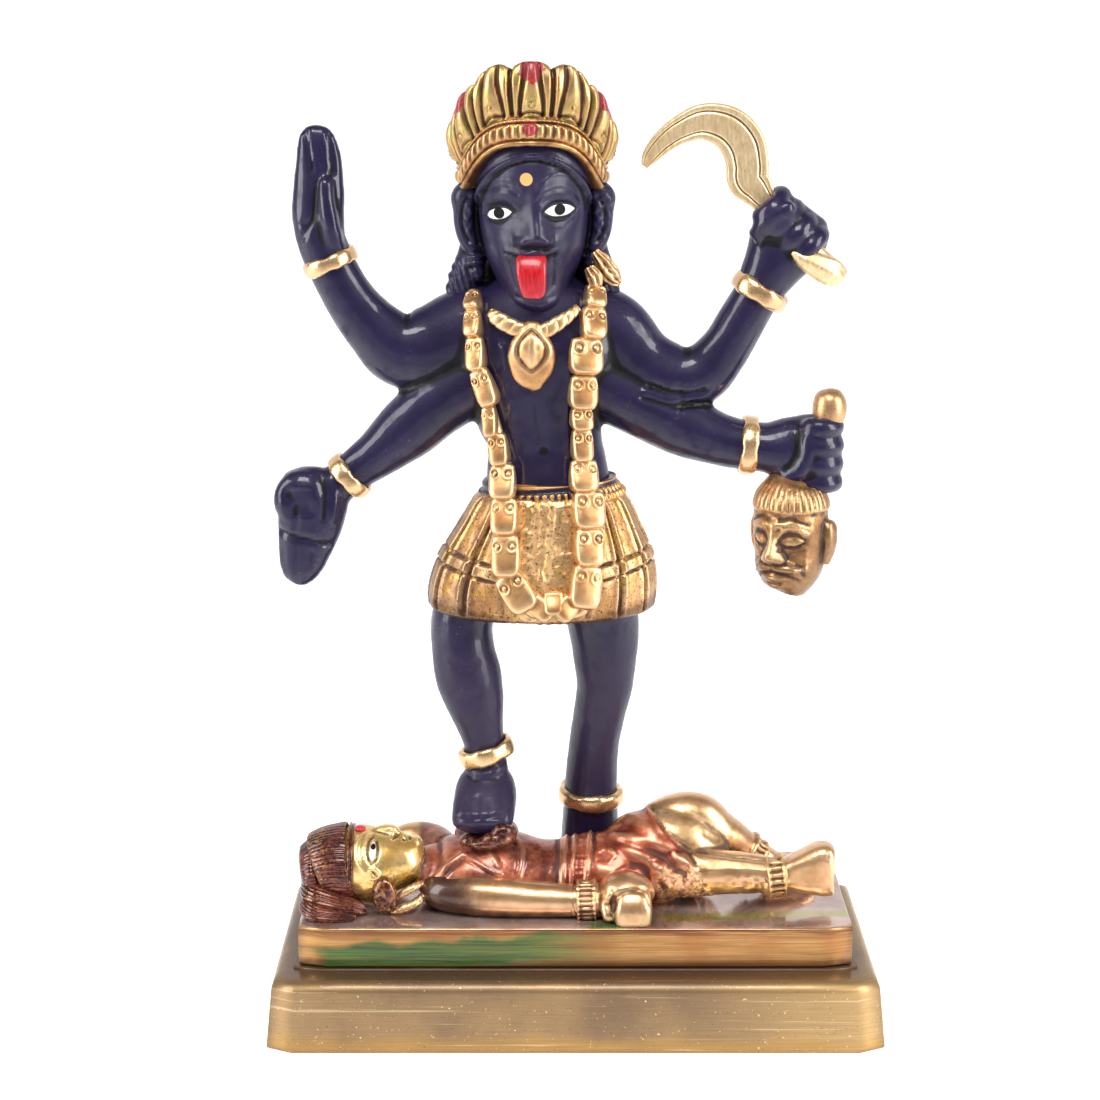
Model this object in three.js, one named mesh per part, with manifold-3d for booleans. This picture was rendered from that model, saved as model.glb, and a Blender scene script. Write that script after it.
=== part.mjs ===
// A four-armed goddess standing on a reclining figure, cast in brass on a stepped plinth.
// Lengths are millimetres, +Z is up and the viewer stands at -Y.
// The origin is the centre of the plinth's underside.
import * as THREE from "three";
import { mergeVertices } from "three/addons/utils/BufferGeometryUtils.js";
import Module from "manifold-3d";

// Clearance kept wherever two pieces meet
const JOINT_GAP = 0.3;

// Plinth: a block whose sides lean in towards a rounded top edge, with a low seat for the slab on it
const PLINTH_WIDTH = 128;
const PLINTH_DEPTH = 64;
const PLINTH_HEIGHT = 14.9;
const PLINTH_BATTER = 1.4;
const PLINTH_CORNER = 3;
const PLINTH_EDGE = 2.2;
const PLINTH_FOOT_EDGE = 0.7;
const SEAT_RISE = 0.5;
const SEAT_MARGIN = 1.2;

// Slab that the reclining figure is cast on
const SLAB_WIDTH = 115.2;
const SLAB_DEPTH = 47.2;
const SLAB_HEIGHT = 8.5;
const SLAB_CORNER = 1.2;
const SLAB_EDGE = 0.6;

// The two figures, drawn below in units of their own size
const STANDING_HEIGHT = 176;
const STANDING_UNITS = 176;
const RECLINING_LENGTH = 113.6;
const RECLINING_UNITS = 113.6;

// Pad of brazing metal between the standing figure's left foot and the chest under it, and how far its drum
// reaches down into the chest
const PAD_RADIUS = 7;
const PAD_RISE = 0.9;
const PAD_ROOT = 4;
const PAD_TAPER = 0.86;

// Sickle: a flat plate on a round handle that passes through the fist
const SICKLE_THICKNESS = 2.2;
const SICKLE_CLEARANCE = 0.3;
const HANDLE_RADIUS = 2;
const POMMEL_RADIUS = 2.9;

// Heel and toes of the standing figure's feet, in its own units
const LEFT_HEEL = [-18.2, 5];
const LEFT_TOES = [-19.4, -12.6];
const RIGHT_HEEL = [-1.6, 14.6];
const RIGHT_TOES = [13.4, 11.6];

// Highest point of the reclining figure's chest, in its own units
const CHEST_HEIGHT = 15;

// Heights at which the pieces sit
const SLAB_BASE = PLINTH_HEIGHT + SEAT_RISE + JOINT_GAP;
const SLAB_TOP = SLAB_BASE + SLAB_HEIGHT;
const STANDING_SCALE = STANDING_HEIGHT / STANDING_UNITS;
const RECLINING_SCALE = RECLINING_LENGTH / RECLINING_UNITS;
const PAD_TOP = CHEST_HEIGHT * RECLINING_SCALE + PAD_RISE;

// Directions that a limb's depth is measured along
const BACK = new THREE.Vector3(0, 1, 0);
const UP = new THREE.Vector3(0, 0, 1);

const wasm = await Module();
wasm.setup();

// A ring of a limb: its centre, and its reach across and in depth.
function ring(x, y, z, across, depth = across) {
  return { centre: new THREE.Vector3(x, y, z), reach: new THREE.Vector3(across, depth, 0) };
}

// A cylinder drawn out along a smooth path, its section an ellipse that changes from ring to ring.
// Relief is added outwards as a function of the turn (0 to 1, 0.5 at the front) and the share of the path.
// Focus crowds the section's corners towards the front.
function limb(rings, { sides = 10, steps = 8, facing = BACK, focus = 0, relief = null } = {}) {
  const path = new THREE.CatmullRomCurve3(rings.map((r) => r.centre), false, "catmullrom", 0.5);
  const girth = new THREE.CatmullRomCurve3(rings.map((r) => r.reach), false, "catmullrom", 0.5);
  const geometry = new THREE.CylinderGeometry(1, 1, 1, sides, steps);
  const spots = geometry.attributes.position;
  for (let i = 0; i < spots.count; i++) {
    const share = spots.getY(i) + 0.5;
    const onWall = Math.hypot(spots.getX(i), spots.getZ(i)) > 0.5;
    const plain = Math.atan2(spots.getX(i), spots.getZ(i));
    const angle = plain + focus * Math.sin(plain);
    const along = path.getTangent(share);
    const depth = facing.clone().addScaledVector(along, -facing.dot(along)).normalize();
    const across = along.clone().cross(depth);
    const size = girth.getPoint(share);
    const extra = relief ? relief((angle / (2 * Math.PI) + 1) % 1, share) : 0;
    const place = path.getPoint(share);
    if (onWall) {
      place.addScaledVector(across, Math.sin(angle) * (size.x + extra));
      place.addScaledVector(depth, Math.cos(angle) * (size.y + extra));
    }
    spots.setXYZ(i, place.x, place.y, place.z);
  }
  return geometry;
}

// An ellipsoid.
function ball(x, y, z, rx, ry, rz, sides = 8, steps = 6) {
  return new THREE.SphereGeometry(1, sides, steps).rotateX(Math.PI / 2).scale(rx, ry, rz).translate(x, y, z);
}

// Moves the front of a face: each touch is a spot (x, z), how wide and how tall it is felt, and a push
// towards the viewer.
function modelFace(geometry, frontOf, touches) {
  const spots = geometry.attributes.position;
  for (let i = 0; i < spots.count; i++) {
    if (spots.getY(i) > frontOf) continue;
    let y = spots.getY(i);
    for (const [x, z, wide, tall, push] of touches) {
      y -= push * Math.exp(-(((spots.getX(i) - x) / wide) ** 2) - ((spots.getZ(i) - z) / tall) ** 2);
    }
    spots.setY(i, y);
  }
  return geometry;
}

// Turns a closed geometry into a solid.
function solid(geometry) {
  const bare = geometry.clone();
  bare.deleteAttribute("normal");
  bare.deleteAttribute("uv");
  const merged = mergeVertices(bare, 1e-4);
  const mesh = new wasm.Mesh({
    numProp: 3,
    vertProperties: merged.attributes.position.array,
    triVerts: new Uint32Array(merged.index.array),
  });
  return new wasm.Manifold(mesh);
}

// Joins closed geometries into one solid.
function join(...geometries) {
  return geometries.flat().map(solid).reduce((whole, piece) => whole.add(piece));
}

// Turns a solid back into a geometry with flat faces.
function geometryOf(manifold) {
  const mesh = manifold.getMesh();
  const places = [];
  for (let i = 0; i < mesh.vertProperties.length; i += mesh.numProp) {
    places.push(...mesh.vertProperties.slice(i, i + 3));
  }
  const geometry = new THREE.BufferGeometry();
  geometry.setAttribute("position", new THREE.Float32BufferAttribute(places, 3));
  geometry.setIndex([...mesh.triVerts]);
  const flat = geometry.toNonIndexed();
  flat.computeVertexNormals();
  return flat;
}

// An oblong block standing on z = 0 with round corners. Its top and bottom edges are rounded, and its sides
// lean in by batter on the way up.
function block({ width, depth, height, corner, topEdge, footEdge, batter }) {
  const outline = new THREE.Shape();
  const x = width / 2;
  const y = depth / 2;
  outline.moveTo(-x + corner, -y);
  outline.lineTo(x - corner, -y);
  outline.absarc(x - corner, -y + corner, corner, -Math.PI / 2, 0, false);
  outline.lineTo(x, y - corner);
  outline.absarc(x - corner, y - corner, corner, 0, Math.PI / 2, false);
  outline.lineTo(-x + corner, y);
  outline.absarc(-x + corner, y - corner, corner, Math.PI / 2, Math.PI, false);
  outline.lineTo(-x, -y + corner);
  outline.absarc(-x + corner, -y + corner, corner, Math.PI, 1.5 * Math.PI, false);
  const levels = [
    { z: 0, inset: footEdge },
    { z: footEdge, inset: 0 },
    { z: height - topEdge, inset: 0 },
    { z: height - topEdge * 0.3, inset: topEdge * 0.3 },
    { z: height, inset: topEdge },
  ];
  const steps = levels.length - 1;
  const geometry = new THREE.ExtrudeGeometry(outline, { depth: steps, steps, bevelEnabled: false, curveSegments: 3 });
  const spots = geometry.attributes.position;
  for (let i = 0; i < spots.count; i++) {
    const level = levels[Math.round(spots.getZ(i))];
    const inset = level.inset + (batter * level.z) / height;
    const px = spots.getX(i);
    const py = spots.getY(i);
    spots.setXYZ(i, px * (1 - inset / x), py * (1 - inset / y), level.z);
  }
  return geometry;
}

// A bangle round a wrist or an ankle, solid across because the limb passes through it.
function bangle(centre, axis, radius, wire) {
  const middle = new THREE.Vector3(...centre);
  const rings = [-1, 0, 1].map((place) => {
    const spot = middle.clone().addScaledVector(axis.clone().normalize(), place * wire);
    return ring(spot.x, spot.y, spot.z, radius + (place ? 0.2 : 1) * wire);
  });
  return limb(rings, { sides: 9, steps: 2 });
}

// Torso with neck, from the belt up.
function torso() {
  return limb(
    [
      ring(-5.4, 0.4, 86, 13.4, 9.6),
      ring(-6.0, 0.2, 94.5, 12.3, 9),
      ring(-6.3, 0, 99, 11.7, 8.7),
      ring(-7.2, 0, 103.5, 13.4, 9),
      ring(-7.8, 0, 111, 16.6, 9.8),
      ring(-8.0, 0, 119, 18, 10),
      ring(-8.2, 0.6, 126, 16.6, 8.6),
      ring(-8.3, 1.4, 130.5, 10, 6.8),
      ring(-8.4, 1.6, 134, 7, 6.5),
      ring(-8.4, 1.4, 139, 6.5, 6.5),
    ],
    { sides: 12, steps: 9 },
  );
}

// The four arms down to their wrists, the viewer's left first.
function arms() {
  const raisedOpen = [
    ring(-13, 1.5, 122, 9, 7.6),
    ring(-21.6, 1.5, 120.6, 9.4, 7.2),
    ring(-29, 1, 117.6, 8.9, 6.6),
    ring(-35.8, 0.4, 117.2, 7.8, 6),
    ring(-41, 0, 121.2, 6.3, 5.5),
    ring(-45.7, -0.6, 127, 5.3, 5),
    ring(-48.9, -1, 132.8, 5, 4.6),
    ring(-51.2, -1.4, 138.5, 4.9, 4.2),
  ];
  const loweredOpen = [
    ring(-13, 0.5, 114.5, 8, 7.2),
    ring(-21.5, 0.2, 110.4, 7.2, 7),
    ring(-28.5, -0.2, 106, 6.8, 6.5),
    ring(-34.8, -0.6, 100.8, 6.5, 5.8),
    ring(-40.3, -1, 96.2, 5.2, 5),
    ring(-45.2, -1.4, 92.6, 4.4, 4.2),
    ring(-50, -2, 88.8, 4.2, 3.8),
  ];
  const raisedFist = [
    ring(-3, 1.5, 122, 9, 7.6),
    ring(6, 1.5, 120.4, 9.2, 7.2),
    ring(13.6, 1, 114, 7.6, 6.6),
    ring(20.5, 0.4, 111.2, 7.1, 6),
    ring(26, 0, 112.4, 6.2, 5.5),
    ring(30.5, -0.4, 117.4, 5.2, 5),
    ring(34, -0.8, 123.5, 4.9, 4.8),
    ring(38, -1.2, 130.6, 4.7, 4.6),
  ];
  const loweredFist = [
    ring(-3, 0.5, 114.5, 8, 7.2),
    ring(6, 0.2, 109.8, 7.2, 7),
    ring(14, -0.2, 105.8, 6.9, 6.6),
    ring(22.5, -0.6, 101.4, 6.4, 6),
    ring(30, -1, 98.6, 5.4, 5.3),
    ring(36, -1.4, 97.4, 5.1, 5),
    ring(41, -1.6, 97, 5.2, 5),
  ];
  return [raisedOpen, loweredOpen, raisedFist, loweredFist].map((rings) =>
    limb(rings, { sides: 8, steps: rings.length - 1 }),
  );
}

// A finger: a tapering limb through its joints with a round tip.
function finger(joints, radius, facing = BACK) {
  const last = joints.length - 1;
  const tip = new THREE.Vector3(...joints[last]);
  const way = tip.clone().sub(new THREE.Vector3(...joints[last - 1])).normalize();
  const end = tip.clone().addScaledVector(way, radius * 0.6);
  const rings = joints.map((joint, i) => ring(...joint, radius * (1 - (0.15 * i) / last)));
  rings.push(ring(end.x, end.y, end.z, radius * 0.4));
  return limb(rings, { sides: 5, steps: joints.length - 1, facing });
}

// Shallow creases that part four close fingers, from a given share of a hand's length to its tips.
function fingerCreases(from) {
  return (turn, share) => (share > from ? -0.35 * Math.cos(turn * 2 * Math.PI * 6) : 0);
}

// The raised hand, palm to the viewer and fingers up and close together.
function raisedHand() {
  const palm = limb(
    [
      ring(-50.6, -1.4, 135, 4.4, 3.8),
      ring(-51.7, -1.7, 139.5, 4.9, 3.7),
      ring(-52.2, -2, 144.5, 5.3, 3.4),
      ring(-52, -2.2, 150, 5.2, 2.9),
      ring(-51.8, -2.4, 155.5, 4.7, 2.4),
      ring(-52.2, -2.5, 160.4, 3.6, 1.9),
      ring(-52.2, -2.5, 163, 1.6, 1),
    ],
    { sides: 12, steps: 6, relief: fingerCreases(0.6) },
  );
  const thumb = finger([[-48.3, -3.2, 138], [-49.3, -5.2, 143.5], [-50.3, -5, 151.5]], 1.9);
  return [palm, thumb];
}

// The lowered hand, palm to the viewer and fingers down and close together.
function loweredHand() {
  const palm = limb(
    [
      ring(-54.8, -2.2, 93.2, 1.8, 1.4),
      ring(-54.8, -2.4, 91.4, 5.8, 3.2),
      ring(-54.6, -2.8, 87, 7.6, 4.2),
      ring(-55.2, -3.2, 81.5, 6.7, 3.8),
      ring(-56.3, -3.6, 76, 5.6, 3.2),
      ring(-57.4, -3.9, 71.8, 4.3, 2.5),
      ring(-58.2, -4, 69.2, 2.2, 1.3),
    ],
    { sides: 12, steps: 6, relief: fingerCreases(0.6) },
  );
  return [palm, ball(-56.3, -4, 86.6, 6.4, 3.6, 6.6, 10, 6)];
}

// Four fingers closed round a grip: a cylinder on the grip's axis that swells once for each finger.
function closedFingers(grip, axis, reach, spacing) {
  const ends = [-2.1, -1, 0, 1, 2.1];
  const rings = ends.map((place, i) => {
    const spot = grip.clone().addScaledVector(axis, place * spacing);
    const size = i === 0 || i === ends.length - 1 ? reach * 0.82 : reach;
    return ring(spot.x, spot.y, spot.z, size, size * 1.05);
  });
  const knuckles = (turn, share) => 0.45 - 0.9 * Math.cos(Math.PI * share * 4) ** 2;
  return limb(rings, { sides: 8, steps: 8, relief: knuckles });
}

// The raised fist, which closes round the sickle's handle.
function raisedFist() {
  const back = limb(
    [
      ring(36.6, -1.2, 128.6, 4.6, 4.4),
      ring(40, -1.2, 134.6, 6.2, 5),
      ring(42, -1, 138, 7.6, 5.2),
      ring(44.2, -0.6, 141.4, 7.8, 5),
      ring(46.4, -0.4, 144.4, 6.6, 3.6),
      ring(47.6, -0.4, 146, 4, 2),
    ],
    { sides: 8, steps: 5 },
  );
  const thumb = finger([[36.4, -3.4, 140.6], [38.6, -6.2, 144.4], [42.4, -7, 147]], 2);
  return [back, thumb, closedFingers(SICKLE_GRIP.clone().addScaledVector(SICKLE_AXIS, -1), SICKLE_AXIS, 5.3, 3.7)];
}

// The lowered fist, which holds the severed head by a knot of hair that stands out above it.
function loweredFist() {
  const grip = new THREE.Vector3(50.6, -3.4, 96.2);
  const back = limb(
    [
      ring(39.5, -1.6, 97, 5.3, 5),
      ring(43, -1.6, 96.8, 6.4, 5.2),
      ring(46.5, -1.4, 96.3, 7.9, 5),
      ring(50.5, -1.2, 96.1, 8, 4.4),
      ring(53.6, -1.2, 96.1, 6.6, 3),
      ring(54.8, -1.2, 96.1, 4, 1.6),
    ],
    { sides: 8, steps: 5 },
  );
  const thumb = finger([[42.5, -5, 91.6], [46.5, -7, 90.4], [50.4, -6.8, 89.6]], 1.9);
  const knot = limb(
    [ring(50.2, -3.4, 86, 3.2), ring(51.2, -3.2, 96, 3.1), ring(52, -3, 105, 3.4), ring(52.2, -3, 108, 3.2),
      ring(52.3, -3, 109.4, 1.8)],
    { sides: 8, steps: 4 },
  );
  return [back, thumb, knot, closedFingers(grip, UP, 4.7, 4.1)];
}

// Where the severed head hangs, in the standing figure's units, and how far it is turned to the viewer's left
const SEVERED_AXIS = [45, -4];
const SEVERED_TURN = -30;

// The severed head, its hair cut straight over the brow, with heavy lids, a big nose and a moustache. It is
// drawn facing the viewer and then turned.
function severedHead() {
  const hair = (turn, share) => (share > 0.62 ? 0.5 + 0.25 * Math.cos(turn * 2 * Math.PI * 7) : 0);
  const head = limb(
    [
      ring(45.2, -4.8, 66.4, 3, 2.8),
      ring(45.2, -4.8, 67.6, 5, 4.8),
      ring(45.1, -4.6, 71.5, 6.4, 6.6),
      ring(45, -4.4, 76, 7.2, 7.4),
      ring(44.9, -4.2, 80.5, 7.6, 7.8),
      ring(44.9, -4, 85, 7.5, 7.6),
      ring(45.1, -4, 88.6, 6.2, 6.4),
      ring(45.6, -4, 91, 3, 3),
    ],
    { sides: 14, steps: 9, focus: 0.5, relief: hair },
  );
  modelFace(head, -6, [
    [45, 77, 1.7, 2.6, 2.4],
    [45, 75, 2.6, 1.2, 1.4],
    [41.8, 79, 1.9, 1.3, -1],
    [48.2, 79, 1.9, 1.3, -1],
    [41.7, 78.8, 1.2, 0.9, 0.9],
    [48.3, 78.8, 1.2, 0.9, 0.9],
    [45, 81.6, 5, 0.9, 0.8],
    [45, 73.2, 3.6, 0.8, 0.8],
    [45, 70.6, 2, 0.9, 0.8],
    [45, 68, 2.4, 1.2, 0.8],
  ]);
  const ears = [-1, 1].map((side) => ball(45 + side * 7.8, -3.4, 78.2, 1.3, 1.9, 3.4, 6, 4));
  const [x, y] = SEVERED_AXIS;
  return [head, ...ears].map((piece) =>
    piece.translate(-x, -y, 0).rotateZ(THREE.MathUtils.degToRad(SEVERED_TURN)).translate(x, y, 0),
  );
}

// Head of the standing figure, with its tongue, ears, and hair falling behind the shoulders.
function head() {
  const skull = limb(
    [
      ring(-8.1, -5.6, 125, 1.6, 1.6),
      ring(-8.1, -4.4, 127.2, 4.6, 5.6),
      ring(-8.2, -2.4, 131, 7.2, 8.9),
      ring(-8.4, -1, 135.6, 9.4, 10.7),
      ring(-8.5, -0.5, 140.2, 10.5, 11.4),
      ring(-8.6, -0.2, 145, 11, 11.8),
      ring(-8.7, 0, 150, 11.1, 12),
      ring(-8.7, 0.4, 155, 11, 12),
      ring(-8.7, 0.8, 160.4, 10, 11.2),
    ],
    { sides: 16, steps: 13, focus: 0.6 },
  );
  modelFace(skull, -6, [
    [-8.3, 149, 1.8, 3.4, 1.2],
    [-7.9, 144.5, 1.6, 2.8, 1.8],
    [-7.7, 141.2, 2, 1.6, 2.6],
    [-7.7, 140.4, 3.2, 1.2, 1],
    [-15, 146.4, 3.2, 2.1, -1.9],
    [-3.4, 146.6, 3.2, 2.1, -1.9],
    [-15, 146, 1.9, 1, 1.3],
    [-3.4, 146.2, 1.9, 1, 1.3],
    [-14.6, 150.4, 3.6, 1.3, 0.8],
    [-2.6, 150.6, 3.6, 1.3, 0.8],
    [-15, 138.6, 3, 2.8, 0.7],
    [-1.8, 138.8, 3, 2.8, 0.7],
    [-8.1, 137.6, 3.8, 1.2, 1.3],
    [-8.2, 131.4, 3.4, 1.6, -0.7],
    [-8.1, 127.6, 2.6, 1.8, 1.2],
  ]);
  const tongue = limb(
    [ring(-8.7, -10.6, 138.2, 2.6, 1.4), ring(-8.6, -12.6, 136.6, 2.9, 1.3), ring(-8.5, -13, 133, 2.6, 1.2),
      ring(-8.4, -13, 130.2, 2.1, 1.1), ring(-8.3, -12.8, 128.8, 1, 0.6)],
    { sides: 6, steps: 3 },
  );
  const ears = [-1, 1].map((side) =>
    limb(
      [ring(-8.7 + side * 12.4, 1.4, 150.4, 1, 1.4), ring(-8.7 + side * 13.6, 1.4, 148, 2.2, 2.4),
        ring(-8.7 + side * 13.6, 1.2, 143, 2.2, 2.2), ring(-8.7 + side * 12.5, 0.8, 138.6, 1.9, 2),
        ring(-8.7 + side * 11.8, 0.6, 135.6, 1.9, 2), ring(-8.7 + side * 11.7, 0.6, 134.2, 0.8, 0.9)],
      { sides: 5, steps: 4 },
    ),
  );
  const strands = (turn, share) => 0.5 * Math.cos(turn * 2 * Math.PI * 7) * Math.min(1, 4 * share);
  const hair = limb(
    [
      ring(-7.6, 6.4, 88, 3.4, 2.2),
      ring(-7.8, 7, 100, 8, 3.4),
      ring(-8, 7.6, 112, 12, 4),
      ring(-8.2, 7.4, 123, 15, 4.8),
      ring(-8.4, 6.6, 130, 16.1, 5.6),
      ring(-8.5, 6.2, 137, 14.6, 6.6),
      ring(-8.6, 5.8, 145, 13, 7),
      ring(-8.6, 5, 153, 11, 6.4),
    ],
    { sides: 14, steps: 6, relief: strands },
  );
  const lock = limb(
    [ring(3.6, -0.4, 139, 2.4, 2.4), ring(6.4, -0.8, 134.6, 3.1, 3), ring(8.4, -1, 131, 2.6, 2.6),
      ring(9.6, -1, 128.6, 1.2, 1.2)],
    { sides: 6, steps: 3 },
  );
  return [skull, tongue, ...ears, hair, lock];
}

// The crown's middle, its leaves, the height of its rim over the ears, and how far the rim arches over the brow
const CROWN_CENTRE = [-8.9, 1];
const CROWN_LEAVES = 12;
const CROWN_RIM = 150;
const CROWN_ARCH = 9.6;

// Crown: a band whose front arches high over the brow, and a flared ring of leaves with round tips that stands
// on it, a leaf at the front. Grooves part the leaves. The leaves are tallest at the front.
function crown() {
  const corners = 3 * CROWN_LEAVES;
  const halfStep = 0.5 / corners;
  const grooves = (turn, share) => {
    const between = Math.abs(Math.sin(Math.PI * CROWN_LEAVES * (turn + halfStep))) > 0.9;
    return between && share > 0.4 && share < 0.75 ? -1 : 0;
  };
  const cup = limb(
    [
      ring(0, 0, 0, 14, 14),
      ring(0, 0, 1, 15.1, 15.1),
      ring(0, 0, 4.6, 15.3, 15.3),
      ring(0, 0, 5.6, 14.9, 14.9),
      ring(0, 0, 8.6, 16.5, 16.5),
      ring(0, 0, 12.6, 17.2, 17.2),
      ring(0, 0, 15.8, 16.2, 16.2),
      ring(0, 0, 15.4, 14.4, 14.4),
      ring(0, 0, 12, 11.5, 11.5),
    ],
    { sides: corners, steps: 8, relief: grooves },
  ).rotateZ(2 * Math.PI * halfStep);
  const spots = cup.attributes.position;
  for (let i = 0; i < spots.count; i++) {
    const radius = Math.hypot(spots.getX(i), spots.getY(i));
    const forward = radius > 0 ? -spots.getY(i) / radius : 0;
    const turn = Math.atan2(spots.getX(i), spots.getY(i)) / (2 * Math.PI);
    const rise = CROWN_ARCH * THREE.MathUtils.smoothstep(forward, 0.2, 1.05) * Math.min(1, radius / 12);
    const tall = 0.76 + 0.24 * THREE.MathUtils.smoothstep(forward, -0.2, 0.45);
    const tip = THREE.MathUtils.smoothstep(spots.getZ(i), 12, 15.5) * (radius > 13 ? 1 : 0);
    const scallop = 1.1 * Math.cos(2 * Math.PI * CROWN_LEAVES * turn) * tip;
    spots.setZ(i, CROWN_RIM + rise + spots.getZ(i) * tall + scallop);
  }
  return cup.translate(...CROWN_CENTRE, 0);
}

// Skirt: flat pleats that fan out from the belt with a groove between each two, and a short flounce.
function skirt() {
  const pleats = 16;
  const grooves = (turn, share) => {
    const between = Math.abs(Math.sin(Math.PI * pleats * turn)) < 0.1;
    return between && share > 0.1 && share < 0.9 ? -1.3 : 0;
  };
  return limb(
    [
      ring(-7.1, -0.4, 62.4, 20.6, 12.4),
      ring(-7, -0.4, 63.6, 23.2, 14),
      ring(-6.7, -0.3, 67.2, 23.6, 14.2),
      ring(-6.4, -0.2, 72, 23, 14),
      ring(-6.1, 0, 74.6, 22, 13.3),
      ring(-5.5, 0, 81.5, 18.7, 12.2),
      ring(-5.1, 0.2, 87.4, 15.8, 11.4),
      ring(-5.1, 0.2, 91, 15, 10.8),
    ],
    { sides: 3 * pleats, steps: 5, relief: grooves },
  );
}

// Garland of skulls: a rope that swells once for each bead, down both sides and across the hem.
function garland() {
  const beads = 22;
  const swell = (turn, share) => 0.45 - 0.9 * Math.cos(Math.PI * share * beads) ** 2;
  return limb(
    [
      ring(-19.2, -2, 131.5, 2.65, 2),
      ring(-21.2, -6, 124.5, 2.95, 2.1),
      ring(-20, -9, 117.5, 3.25, 2.1),
      ring(-18.2, -9.8, 110.1, 3.35, 2.1),
      ring(-17.3, -9.3, 103.7, 3.35, 2.1),
      ring(-15.3, -9.2, 97.6, 3.35, 2.1),
      ring(-14.8, -10.8, 91.7, 3.45, 2.1),
      ring(-14.7, -12.2, 83.8, 3.55, 2.1),
      ring(-14.2, -13.6, 75.8, 3.55, 2.1),
      ring(-12.2, -14.6, 68.6, 3.55, 2.1),
      ring(-6, -14.9, 65.8, 3.45, 2.1),
      ring(0.2, -14.6, 67.6, 3.55, 2.1),
      ring(2.8, -13.8, 73.4, 3.55, 2.1),
      ring(2.7, -12.4, 81.6, 3.55, 2.1),
      ring(2.2, -11, 89.6, 3.45, 2.1),
      ring(1.5, -9.2, 97, 3.35, 2.1),
      ring(0.9, -9.3, 104, 3.35, 2.1),
      ring(1.2, -9.9, 112, 3.35, 2.1),
      ring(2.8, -9.2, 119, 3.25, 2.1),
      ring(4.4, -6.6, 125.5, 2.65, 2),
      ring(4, -2, 132, 2.45, 2),
    ],
    { sides: 5, steps: 2 * beads, relief: swell },
  );
}

// Rope necklace with a leaf-shaped pendant.
function necklace() {
  const rope = limb(
    [ring(-17.4, -5.6, 128.6, 1.2), ring(-13.2, -9.2, 124.8, 1.3), ring(-8.5, -10.6, 123.2, 1.4),
      ring(-3.6, -9.4, 124.9, 1.3), ring(0.6, -5.8, 128.8, 1.2)],
    { sides: 5, steps: 6 },
  );
  const pendant = limb(
    [ring(-8.9, -10, 110.6, 0.5, 0.6), ring(-8.9, -10.2, 112.6, 2.6, 1.4), ring(-8.9, -10.4, 116.4, 4.6, 2),
      ring(-8.9, -10.5, 119.4, 3.9, 1.9), ring(-8.8, -10.5, 122, 2, 1.5), ring(-8.8, -10.4, 124, 1.6, 1.2)],
    { sides: 8, steps: 5 },
  );
  return [rope, pendant];
}

// Both legs. The left one stands on the chest, so it is drawn between the hip and that sole.
function legs(leftSole) {
  const hip = 66;
  const drawnSole = 16.3;
  const at = (z) => hip - ((hip - z) * (hip - leftSole)) / (hip - drawnSole);
  const left = [
    ring(-21, 0.6, at(68), 7.4, 7.6),
    ring(-23.7, 0, at(60.5), 6.6, 7),
    ring(-23.6, -0.6, at(53.5), 6.6, 7),
    ring(-22.5, -1.4, at(48), 7, 7),
    ring(-21.2, -1.6, at(42.5), 6.2, 6.6),
    ring(-20, -1.6, at(37), 4.9, 5.8),
    ring(-19.1, -1.8, at(32), 4.2, 4.6),
    ring(-18.7, -2, at(27), 4.6, 4.8),
    ring(-18.6, -2.4, at(22), 5, 5.4),
  ];
  const right = [
    ring(4.5, 1, 68, 8.2, 8.2),
    ring(6.1, 2.4, 57.5, 7.5, 7.6),
    ring(6.4, 3.4, 50.5, 6.7, 7.2),
    ring(6.4, 4.6, 44.5, 6, 6.8),
    ring(5.2, 6.2, 37, 5.5, 6.6),
    ring(4.2, 7.8, 30, 5.4, 6.2),
    ring(3.5, 9.2, 22, 5.3, 5.6),
    ring(3.2, 10, 15, 5, 5.2),
    ring(3, 10.6, 7, 5, 5.4),
  ];
  return [limb(left, { sides: 8, steps: 8 }), limb(right, { sides: 8, steps: 7 })];
}

// A foot from heel to toes, on a sole at the given height, with five toes side by side where they show.
function foot(heel, toes, sole, withToes) {
  const way = new THREE.Vector2(toes[0] - heel[0], toes[1] - heel[1]);
  const length = way.length();
  way.normalize();
  const at = (share, lift, across, depth) =>
    ring(heel[0] + way.x * length * share, heel[1] + way.y * length * share, sole + lift, across, depth);
  const body = limb(
    [at(0, 3.4, 2.4, 2.8), at(0.1, 4, 4.8, 4.6), at(0.34, 5.6, 6, 6.6), at(0.55, 5, 6.3, 6), at(0.8, 2.8, 6.3, 3.8),
      at(0.94, 1.6, 5.9, 2.2)],
    { sides: 9, steps: 5, facing: UP },
  );
  const tread = (withToes ? [-2, -1, 0, 1, 2] : []).map((place) => {
    const reach = length * (0.97 - 0.02 * place * place) + 0.6 * place;
    const x = heel[0] + way.x * reach - way.y * place * 2.45;
    const y = heel[1] + way.y * reach + way.x * place * 2.45;
    return ball(x, y, sole + 1.2, 1.5, 1.4, 1.4, 5, 3);
  });
  return [body, ...tread];
}

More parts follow.
